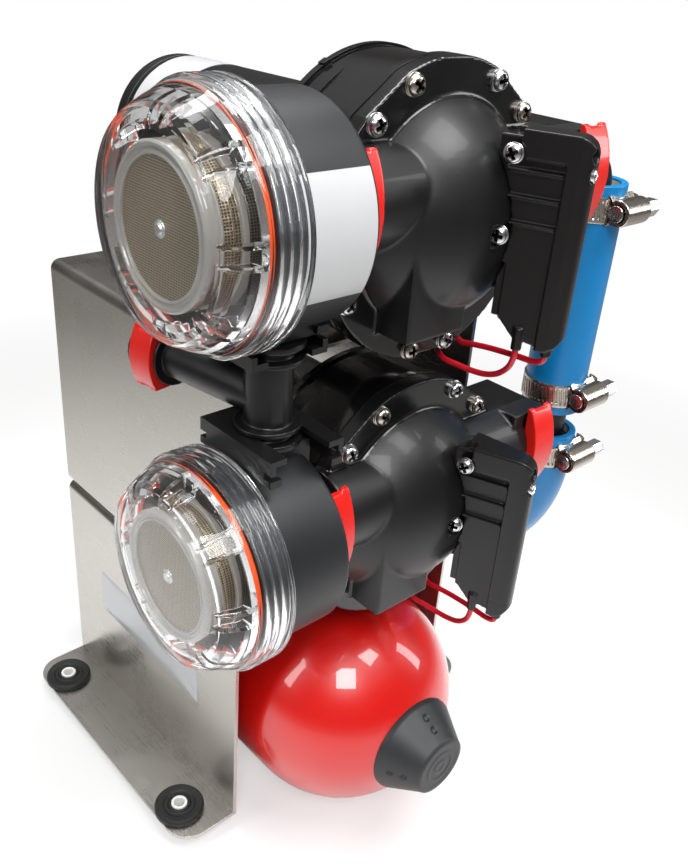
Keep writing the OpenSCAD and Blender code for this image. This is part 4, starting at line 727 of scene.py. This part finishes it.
# Pumps
for level in LEVELS:
    moulded(level + "_head_cover", HEAD_BLACK, 0.7)
    moulded(level + "_switch_body", SWITCH_BLACK, 0.45)
    edged(level + "_drive_housing", GLOSS_BLACK, 0.9, 3)
    edged(level + "_strainer_body", STRAINER_BLACK, 0.6, 3)
    edged(level + "_motor_end_cap", SATIN_BLACK, 0.5)
    edged(level + "_motor_can", MOTOR_BLACK, 0.4)
    edged(level + "_motor_bracket", STAND_STEEL, 0.35)
    edged(level + "_motor_pads", RUBBER, 0.5)
    node, body = level + "_switch_adjuster", level + "_adjuster_body"
    piece(node + "_screw", [adjuster(level)], BRIGHT_STEEL, body, (node,), 40)
    moulded(level + "_inlet_clip", CLIP_RED, 0.4)
    moulded(level + "_outlet_clip", CLIP_RED, 0.4)
    dressed(level + "_rotor", CORE_STEEL)
    dressed(level + "_wobble_plate", PALE)
    dressed(level + "_valve_plate", SATIN_BLACK)
    node, zinc = level + "_head_screws", head_screws(level, 1) + switch_screws(level)
    piece(node + "_nickel", head_screws(level, -1), NICKEL, "unit", (), 40)
    piece(node + "_zinc", zinc, ZINC_SCREWS, "unit", (node,), 40)

# The switches' leads: points along each of the two, with heights from the motor's axis
LEAD_R = 1.3
LEAD_ROUTES = [
    [[16.76, -161.04, -45.5], [16.9, -159.8, -49], [17.6, -155, -51], [18.9, -147.5, -52.2], [20, -139, -53.5],
     [21, -130, -55], [21.8, -121, -56.8], [23.5, -112, -58.9], [28.5, -103, -57.8], [36, -93, -54.2],
     [41.5, -83, -50.5], [44, -73.5, -47.8], [43.5, -65, -44.2], [39.5, -58.5, -37.5], [33, -55, -29.5],
     [27.5, -53, -23.5]],
    [[12.23, -149.6, -45.5], [12.3, -149.3, -50], [13, -147, -55.5], [14.4, -141.5, -60.8], [16.2, -134, -64.6],
     [16.8, -126, -66.2], [15.8, -118, -66], [15, -110, -65.4], [19.5, -101.5, -63.6], [27, -92, -59.6],
     [34.5, -82, -55.2], [38.3, -72.5, -51.6], [38.2, -64.5, -48.2], [34, -58, -40], [28.5, -54.8, -32.5],
     [24, -53, -27]],
]
for level in LEVELS:
    routes = [smooth_path(np.array(route) + [0, 0, PUMP_AXIS[level]], 5) for route in LEAD_ROUTES]
    leads = [tube(route, LEAD_R, 16) for route in routes]
    piece(level + "_leads", leads, LEAD_RED, "unit", (level + "_switch_leads",), 60)


def motor_label():
    """A bare label round the motor can's rear, a thin sheet bent to its radius."""
    low, high, inside, outside = 36.0, 66.0, 37.52, 37.62
    profile = rounded([(inside, low), (outside, low), (outside, high), (inside, high)], 0.04, 2, True)
    start, sweep = math.radians(-75), math.radians(95)
    return turned(profile, "y", (0, 0, PUMP_AXIS["upper"]), 80, start=start, sweep=sweep)


piece("upper_motor_label", [motor_label()], LABEL, "unit")


# Stand
for node in ("lower_bench", "upper_bench", "tank_cradle"):
    edged(node, STAND_STEEL, 0.35)
edged("frame_screws", BRIGHT_STEEL, 0.3)
SLEEVE_BORE_R, SLEEVE_R, SLEEVE_TOP = 2.75, 4.25, 12.4
PLATE_X, LABEL_Y, LABEL_Z = -75.0, 49, (61, 88)


def foot(x, y):
    """Rubber foot: a collar over the flange with a rounded rim and a dished top, and a cone under it."""
    section = [(4.4, 0.0), (8.5, 0.0), (9.3, 2.0), (10.4, 6.0), (6.4, 6.0), (6.4, 8.0), (12.9, 8.0),
               (13.0, 8.6), (13.0, 10.6), (12.0, 12.0), (8.6, 11.6), (7.9, 10.9), (6.2, 10.9), (5.6, 12.0),
               (4.4, 12.0)]
    return turned(rounded(section, 0.7, 5, True), "z", (x, y, 0), 96)


def sleeve(x, y):
    """White sleeve in the foot's bore, a tube with rounded rims."""
    section = [(SLEEVE_BORE_R, 0), (SLEEVE_R, 0), (SLEEVE_R, SLEEVE_TOP), (SLEEVE_BORE_R, SLEEVE_TOP)]
    return turned(rounded(section, 0.35, 4, True), "z", (x, y, 0), 64)


foot_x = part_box("foot_sleeves")[1].x / MM - SLEEVE_R
feet = [(sx * foot_x, sy * FOOT_Y) for sx in (-1, 1) for sy in (-1, 1)]
piece("rubber_feet_turned", [foot(*p) for p in feet], RUBBER, "unit", ("rubber_feet",))
grids = [sleeve(*p) for p in feet]
piece("foot_sleeves_turned", grids, WHITE_PLASTIC, "unit", ("foot_sleeves",))


def plate_label():
    """A bare label on the left side plate: a sheet with round corners, a tenth of a millimetre thick."""
    low, high = LABEL_Z
    y, z = rounded([(-LABEL_Y, low), (LABEL_Y, low), (LABEL_Y, high), (-LABEL_Y, high)], 1.5, 5, True).T
    middle = (low + high) / 2
    rings = []
    for lift, share in ((0.12, 0), (0.12, 0.5), (0.12, 0.998), (0.1, 1), (0.0, 1)):
        rings.append(np.stack([np.full(len(y), PLATE_X - lift), y * share, middle + (z - middle) * share], 1))
    return np.stack(rings, 0)


piece("plate_label", [plate_label()], PLATE_LABEL, "unit", weighted=False)


# Tank
STEM_Y, BOSS_Y, STUB_Y = -153.1, -147.1, 90.0
STEM_R, BOSS_R, STUB_R = 4, 11, 10.5
CAP_LONG, CAP_END_R, CAP_BASE_R = 21.0, 16.4, 25.6
DIMPLE_PAIRS, DIMPLES_ALONG = 4, (7.5, 13.5)


def tank_end(centre, low, high, count):
    """One round end of the tank, as radius and place along Y."""
    return [(TANK_R * math.cos(t), centre + TANK_R * math.sin(t)) for t in np.linspace(low, high, count)]


def tank():
    """Tank: a can between two round ends, with a weld seam near the front, the air valve's boss and stem in
    front and the water neck behind."""
    front = tank_end(TANK_FRONT_Y, -math.pi / 2 + 0.19, -0.02, 48)
    rear = tank_end(TANK_REAR_Y, 0.02, math.pi / 2 - 0.18, 40)
    seam = [(TANK_R, TANK_FRONT_Y + 12), (TANK_R - 0.35, TANK_FRONT_Y + 13), (TANK_R, TANK_FRONT_Y + 14)]
    stem = [(0, STEM_Y), (STEM_R, STEM_Y), (STEM_R, BOSS_Y), (BOSS_R, BOSS_Y), (BOSS_R, front[0][1])]
    stub = [(STUB_R, rear[-1][1]), (STUB_R, STUB_Y), (0, STUB_Y)]
    return turned(stem + front + seam + rear + stub, "y", (TANK_X, 0, TANK_Z), 160)


def valve_cap():
    """Cap over the air valve: a cone with thumb dimples in pairs and plain rings raised on its end."""
    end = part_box("tank_valve_cap")[0].y / MM
    base = end + CAP_LONG
    rings = [(0, end + 0.2), (2.2, end + 0.2), (2.6, end), (3.4, end), (3.8, end + 0.25), (7.6, end + 0.25),
             (8.0, end), (8.8, end), (9.2, end + 0.25), (12.0, end + 0.25), (12.5, end), (14.2, end),
             (15.6, end + 0.5), (CAP_END_R, end + 2.2)]
    t = np.linspace(0.02, 1, 60)
    cone = np.stack([CAP_END_R + (CAP_BASE_R - CAP_END_R) * t, end + 2.2 + (CAP_LONG - 5.0) * t], 1)
    skirt = [(26.0, base - 1.5), (26.0, base + 0.5), (24.6, base + 1.3)]
    back = [(24.0, base - 0.6), (12.0, base - 6.0), (0, base - 7.0)]

    def dimples(angle, radius, height):
        made = radius.copy()
        for k in range(DIMPLE_PAIRS):
            away = (angle - k * TURN / DIMPLE_PAIRS + math.pi) % TURN - math.pi
            for along in DIMPLES_ALONG:
                d = np.sqrt((away * radius) ** 2 + (height - end - along) ** 2)
                made = made - np.where(radius > CAP_END_R - 0.1, 1.1 * (1 - step(d, 0.9, 2.0)), 0)
        return made, height

    profile = np.concatenate([rings, cone, skirt, back])
    return turned(profile, "y", (TANK_X, 0, TANK_Z), 360, dimples)


piece("red_tank", [tank()], TANK_RED, "unit", ("tank_shell",), 50)
piece("valve_cap", [valve_cap()], CAP_GREY, "valve_cap_body", ("tank_valve_cap",), 50)


# Fittings
for node, voxel in (("inlet_tee", 0.42), ("outlet_elbow", 0.42), ("outlet_tee", 0.42), ("tank_tee", 0.5)):
    moulded(node, TEE_BLACK, voxel, 2)
for node in ("lower_port_saddle", "upper_port_saddle"):
    edged(node, TEE_BLACK, 0.35)
moulded("tee_clip", CLIP_RED, 0.35)


# Hoses: the gaps from the ports' height to the hoses' ends, the lower hose's bends and where it goes
TOP_GAP, TEE_GAP = 8.4, 6.8
BEND_R, BEND_Z, SLOPE = 75.0, 180.0, math.radians(30)
TURN_R, RUN_Z, TEE_Y, END_X = 55.0, 71.0, 108.0, 24.0
LIP = 1.2


def hose_end(spot, ahead, rim):
    """A rounded lip from the outer wall to the lining: rim is the wall's first ring, ahead points out."""
    bore_r = HOSE_R - HOSE_WALL
    lip = rounded([(HOSE_R, -LIP), (HOSE_R, 0), (bore_r, 0), (bore_r, -LIP)], 0.8, 5)
    outward = (rim - spot) / HOSE_R
    return spot + outward[:, None, :] * lip[None, :, 0, None] + ahead * lip[None, :, 1, None]


def hose(path, name, node):
    """A hose along its path: outer wall, rounded lips at both ends and the pale lining inside."""
    wall = tube(path, HOSE_R, 96, False)
    lining = tube(path, HOSE_R - HOSE_WALL, 96, False)[:, ::-1]
    start = (path[1] - path[0]) / np.linalg.norm(path[1] - path[0])
    end = (path[-1] - path[-2]) / np.linalg.norm(path[-1] - path[-2])
    lips = [hose_end(path[0], -start, wall[:, 0])[:, ::-1], hose_end(path[-1], end, wall[:, -1])]
    wall[:, 0] += start * LIP
    lining[:, -1] += start * LIP
    wall[:, -1] -= end * LIP
    lining[:, 0] -= end * LIP
    finishes, which = [HOSE_BLUE, LINING], [0, 1, 0, 0]
    piece(name, [wall, lining, *lips], finishes, "unit", (node,), 60, which, False)


def bend(centre, radius, first, last, count):
    """An arc: first and last are 3-D directions from the centre, at right angles or less, as unit vectors."""
    total = math.acos(float(np.dot(first, last)))
    t = np.linspace(0, total, count)[:, None]
    return centre + radius * (np.sin(total - t) * first + np.sin(t) * last) / math.sin(total)


def lower_path():
    """Down, round a bend to 30 degrees under level, straight beside the stand, level, and round behind it."""
    back, left, up = np.array([0, 1.0, 0]), np.array([-1.0, 0, 0]), np.array([0, 0, 1.0])
    sloping = math.sin(SLOPE) * back + math.cos(SLOPE) * up
    fall = (BEND_Z - RUN_Z - BEND_R) / math.sin(SLOPE)
    level_y = PORT_Y + BEND_R + fall * math.cos(SLOPE)
    drop = np.linspace((HOSE_X, PORT_Y, PORT_Z["lower"] - TEE_GAP), (HOSE_X, PORT_Y, BEND_Z), 6)[:-1]
    first = bend(np.array([HOSE_X, PORT_Y + BEND_R, BEND_Z]), BEND_R, -back, -sloping, 24)
    second = bend(np.array([HOSE_X, level_y, RUN_Z + BEND_R]), BEND_R, -sloping, -up, 14)
    third = bend(np.array([HOSE_X - TURN_R, TEE_Y - TURN_R, RUN_Z]), TURN_R, -left, back, 30)
    last = np.linspace((HOSE_X - TURN_R, TEE_Y, RUN_Z), (END_X, TEE_Y, RUN_Z), 6)[1:]
    straight = np.linspace(first[-1], second[0], 5)[1:-1]
    flat = (second[-1:] + third[:1]) / 2
    return np.concatenate([drop, first, straight, second, flat, third, last])


upper_ends = [(HOSE_X, PORT_Y, PORT_Z["upper"] - TOP_GAP), (HOSE_X, PORT_Y, PORT_Z["lower"] + TEE_GAP)]
hose(np.linspace(*upper_ends, 12), "upper_blue_hose", "upper_hose")
hose(lower_path(), "lower_blue_hose", "lower_hose")

# Clamps: how far a band is from its hose's end, its radii and half width, the worm's distance from the
# band's axis, the housing's arch with the places of its rows along the worm and the share of the arch in
# each, the strap's free end and the worm screw's head
CLAMP_BACK = 11
BAND_BORE_R, BAND_R, BAND_HALF, SLOTS = 15.8, 16.6, 6.0, 46
WORM_OUT, ARCH_R = 19.9, 6.35
HOUSING_ROWS = [(-8.0, 0.72), (-8.0, 0.95), (-7.6, 1), (-7.0, 1), (1.0, 1), (10.2, 1), (10.8, 1),
                (11.0, 0.95), (11.0, 0.72)]
TAIL_THICK, TAIL_WIDE = 0.8, 10.8
HEX_FLAT_R, HEX_SLOT_DEEP = 4.0, 1.3
CLAMP_FRAMES = [
    at(HOSE_X, PORT_Y, PORT_Z["upper"] - TOP_GAP - CLAMP_BACK),
    at(HOSE_X, PORT_Y, PORT_Z["lower"] + TEE_GAP + CLAMP_BACK),
    at(HOSE_X, PORT_Y, PORT_Z["lower"] - TEE_GAP - CLAMP_BACK),
    at(END_X + CLAMP_BACK, TEE_Y, RUN_Z) @ turn("X", -math.pi / 2) @ turn("Y", math.pi / 2),
]


def band():
    """Clamp band: a thin strap round the hose, with slots sunk along it, each leaning a little."""
    low, high = -BAND_HALF, BAND_HALF
    outer = [(BAND_R, z) for z in np.linspace(high - 0.2, low + 0.2, 25)]
    inner = [(BAND_R - 0.1, low), (BAND_BORE_R, low)]
    profile = [(BAND_BORE_R, low), (BAND_BORE_R, high), (BAND_R - 0.1, high), *outer, *inner]

    def slots(angle, radius, height):
        lean = angle + height * 0.012
        sunk = step(np.cos(lean * SLOTS), 0.1, 0.45) * (1 - step(np.abs(height), 3.6, 4.2))
        return np.where(radius > BAND_R - 0.05, radius - 0.55 * sunk, radius), height

    return turned(profile[::-1], "z", (0, 0, 0), 720, slots)


def saddle_housing():
    """Worm housing: an arched strip drawn along the screw, standing on the band on two feet."""
    t = np.radians(np.linspace(215, -35, 30))
    arch = np.stack([ARCH_R * np.cos(t), ARCH_R * np.sin(t)], 1)
    feet = [(7.2, -5.2), (7.2, -6.0), (-7.2, -6.0), (-7.2, -5.2)]
    across, up = np.concatenate([arch, feet, arch[:1]]).T
    rows = []
    for x, share in HOUSING_ROWS:
        rows.append(np.stack([np.full(len(up), x), -WORM_OUT - up * share, across * share], 1))
    return np.stack(rows, 0)


def band_tail():
    """The strap's free end, which stands up beside the housing: a strip along a short curve."""
    path = [(6.0, -17.6, 0), (10.0, -17.2, 0), (14.0, -15.6, 0), (16.0, -12.6, 0), (16.4, -9.8, 0)]
    curve = smooth_path(np.array(path), 6)
    ahead = np.gradient(curve, axis=0)
    ahead = ahead / np.linalg.norm(ahead, axis=1)[:, None]
    side = np.column_stack([-ahead[:, 1], ahead[:, 0], 0 * ahead[:, 0]]) * TAIL_THICK / 2
    up = np.array([0, 0, TAIL_WIDE / 2])
    loop = [curve + side - up, curve + side + up, curve - side + up, curve - side - up, curve + side - up]
    body = np.stack(loop, 0)
    centre = body[:4].mean(0)
    start, end = (np.broadcast_to(point, (5, 1, 3)) for point in (centre[:1], centre[-1:]))
    return np.concatenate([start, body, end], 1)


def hex_screw():
    """Worm screw: a collar, a hexagonal head with chamfered corners and a slot across it."""
    shank = [(0, -9.4), (3.9, -9.4), (3.9, 11.2)]
    collar = [(5.2, 11.3), (5.2, 13.0)]
    head = [(4.6, 13.1), (4.6, 21.6), (3.4, 22.9)]
    end = np.stack([np.linspace(3.2, 0, 16), np.full(16, 23.0)], 1)
    profile = np.concatenate([rounded(shank + collar + head, 0.3, 3), end])

    def hexagon(angle, radius, height):
        flat = HEX_FLAT_R / np.cos((angle % (TURN / 6)) - TURN / 12)
        made = np.where((height > 13.05) & (radius > 3.0), np.minimum(flat, radius), radius)
        slot = (1 - step(np.abs(radius * np.sin(angle)), 0.45, 0.65)) * step(height, 22.5, 22.8)
        return made, height - HEX_SLOT_DEEP * slot

    return turned(profile, "x", (0, -WORM_OUT, 0), 96, hexagon)


grids = [moved(grid, place) for place in CLAMP_FRAMES for grid in (band(), saddle_housing(), band_tail())]
piece("worm_clamps", grids, CLAMP_STEEL, "unit", ("hose_clamps",), 35)
for k, place in enumerate(CLAMP_FRAMES, 1):
    grids, node = [moved(hex_screw(), place)], f"clamp_screw_{k}"
    piece(f"worm_screw_{k}", grids, BRIGHT_STEEL, f"{node}_body", (node,), 30)


# Room, light and camera: the floor's and the lights' sizes and places are in metres
FLOOR_HALF_M, FLOOR_NEAR_M, FLOOR_FADE = 30.0, 0.22, 2.2
KEY_AIM, SIDE_AIM, FRONT_AIM = (0, -0.05, 0.2), (0, -0.05, 0.22), (0, -0.1, 0.3)
LENS, SENSOR, CLIP_START_M = 37.977, 36.0, 0.01
CAMERA_PLACE = (-274.97, -350.37, 421.16)
CAMERA_YAW, CAMERA_PITCH, CAMERA_ROLL = -0.769937, 0.493618, -0.079558


def flat_floor():
    """A pale floor. Near the unit it takes the shadow, and the camera sees it as half plain white. Further
    off the camera sees only plain white, while metal mirrors a dim grey."""
    corners = [(FLOOR_HALF_M * x, FLOOR_HALF_M * y, 0) for x, y in ((-1, -1), (1, -1), (1, 1), (-1, 1))]
    mesh = bpy.data.meshes.new("floor")
    mesh.from_pydata(corners, [], [(0, 1, 2, 3)])
    floor = bpy.data.objects.new("floor", mesh)
    bpy.context.scene.collection.objects.link(floor)
    finish = Finish("pale_floor", (0.8, 0.8, 0.8), Roughness=0.6)
    x, y, _ = finish.apart("Object")
    far = (((x * x + y * y) ** 0.5 - FLOOR_NEAR_M) * FLOOR_FADE).limited()
    grain = finish.noise(finish.place(), 3.0, 3.0)
    shade = (far * 0.95 + grain * 0.05).limited()
    finish.varies(Base_Color=finish.between(shade, (0.86, 0.86, 0.86), (0.2, 0.19, 0.18)))
    glow = finish.node("ShaderNodeEmission")
    glow.inputs["Color"].default_value = (1, 1, 1, 1)
    finish.blend((far * 0.5 + 0.5) * finish.ray("Is Camera Ray"), finish.shader, glow)
    mesh.materials.append(finish.material)


def room_light():
    """The world: plain white to the camera, about half so through the clear covers, and otherwise a dome
    that is dim below and brighter above."""
    world = bpy.data.worlds.new("room")
    bpy.context.scene.world = world
    world.use_nodes = True
    nodes, links = world.node_tree.nodes, world.node_tree.links
    nodes.clear()
    out, mix = nodes.new("ShaderNodeOutputWorld"), nodes.new("ShaderNodeMixShader")
    dome, plain = nodes.new("ShaderNodeBackground"), nodes.new("ShaderNodeBackground")
    where, split = nodes.new("ShaderNodeTexCoord"), nodes.new("ShaderNodeSeparateXYZ")
    ramp = nodes.new("ShaderNodeValToRGB")
    links.new(where.outputs["Generated"], split.inputs[0])
    links.new(split.outputs["Z"], ramp.inputs[0])
    ends = (0.45, (0.13, 0.125, 0.12, 1)), (0.9, (1.0, 1.0, 1.0, 1))
    for element, (position, colour) in zip(ramp.color_ramp.elements, ends):
        element.position, element.color = position, colour
    links.new(ramp.outputs[0], dome.inputs["Color"])
    dome.inputs["Strength"].default_value = 0.6
    plain.inputs["Color"].default_value = (1, 1, 1, 1)
    plain.inputs["Strength"].default_value = 1.0
    ray, share = nodes.new("ShaderNodeLightPath"), nodes.new("ShaderNodeMath")
    share.operation = "MULTIPLY_ADD"
    links.new(ray.outputs["Is Transmission Ray"], share.inputs[0])
    share.inputs[1].default_value = 0.55
    links.new(ray.outputs["Is Camera Ray"], share.inputs[2])
    links.new(share.outputs[0], mix.inputs[0])
    links.new(dome.outputs[0], mix.inputs[1])
    links.new(plain.outputs[0], mix.inputs[2])
    links.new(mix.outputs[0], out.inputs["Surface"])


def softbox(name, place, aim, size, watts):
    """A rectangular white light, size metres wide and tall, pointed at aim."""
    light = bpy.data.lights.new(name, "AREA")
    light.shape = "RECTANGLE"
    light.size, light.size_y = size
    light.energy = watts
    made = bpy.data.objects.new(name, light)
    bpy.context.scene.collection.objects.link(made)
    made.location = place
    made.rotation_euler = (Vector(aim) - Vector(place)).to_track_quat("-Z", "Y").to_euler()


def photo_camera():
    """The camera that stands in for the photo's. It turns by yaw, then pitch, then roll."""
    lens = bpy.data.cameras.new("photo_camera")
    lens.sensor_fit, lens.sensor_width, lens.lens = "AUTO", SENSOR, LENS
    lens.clip_start = CLIP_START_M
    camera = bpy.data.objects.new("photo_camera", lens)
    bpy.context.scene.collection.objects.link(camera)
    flat, drop = math.cos(CAMERA_PITCH), math.sin(CAMERA_PITCH)
    look = np.array([-math.sin(CAMERA_YAW) * flat, math.cos(CAMERA_YAW) * flat, -drop])
    right = np.array([math.cos(CAMERA_YAW), math.sin(CAMERA_YAW), 0])
    down = np.cross(look, right)
    across = math.cos(CAMERA_ROLL) * right + math.sin(CAMERA_ROLL) * down
    lower = -math.sin(CAMERA_ROLL) * right + math.cos(CAMERA_ROLL) * down
    pose = np.eye(4)
    pose[:3, 0], pose[:3, 1], pose[:3, 2] = across, -lower, -look
    pose[:3, 3] = np.array(CAMERA_PLACE) * MM
    camera.matrix_world = Matrix(pose.tolist())
    return camera


flat_floor()
room_light()
softbox("key", (-0.75, -1.0, 1.35), KEY_AIM, (0.6, 0.6), 17)
softbox("front", (0.25, -0.65, 1.45), FRONT_AIM, (0.7, 0.6), 14)
softbox("top", (0.15, 0.35, 1.4), KEY_AIM, (1.0, 0.3), 12)
softbox("right", (1.2, -0.9, 0.8), SIDE_AIM, (0.25, 0.8), 5)
softbox("left", (-1.3, 0.3, 0.9), SIDE_AIM, (0.3, 0.8), 5)
bpy.context.scene.camera = photo_camera()
bpy.context.scene.view_settings.view_transform = "Standard"
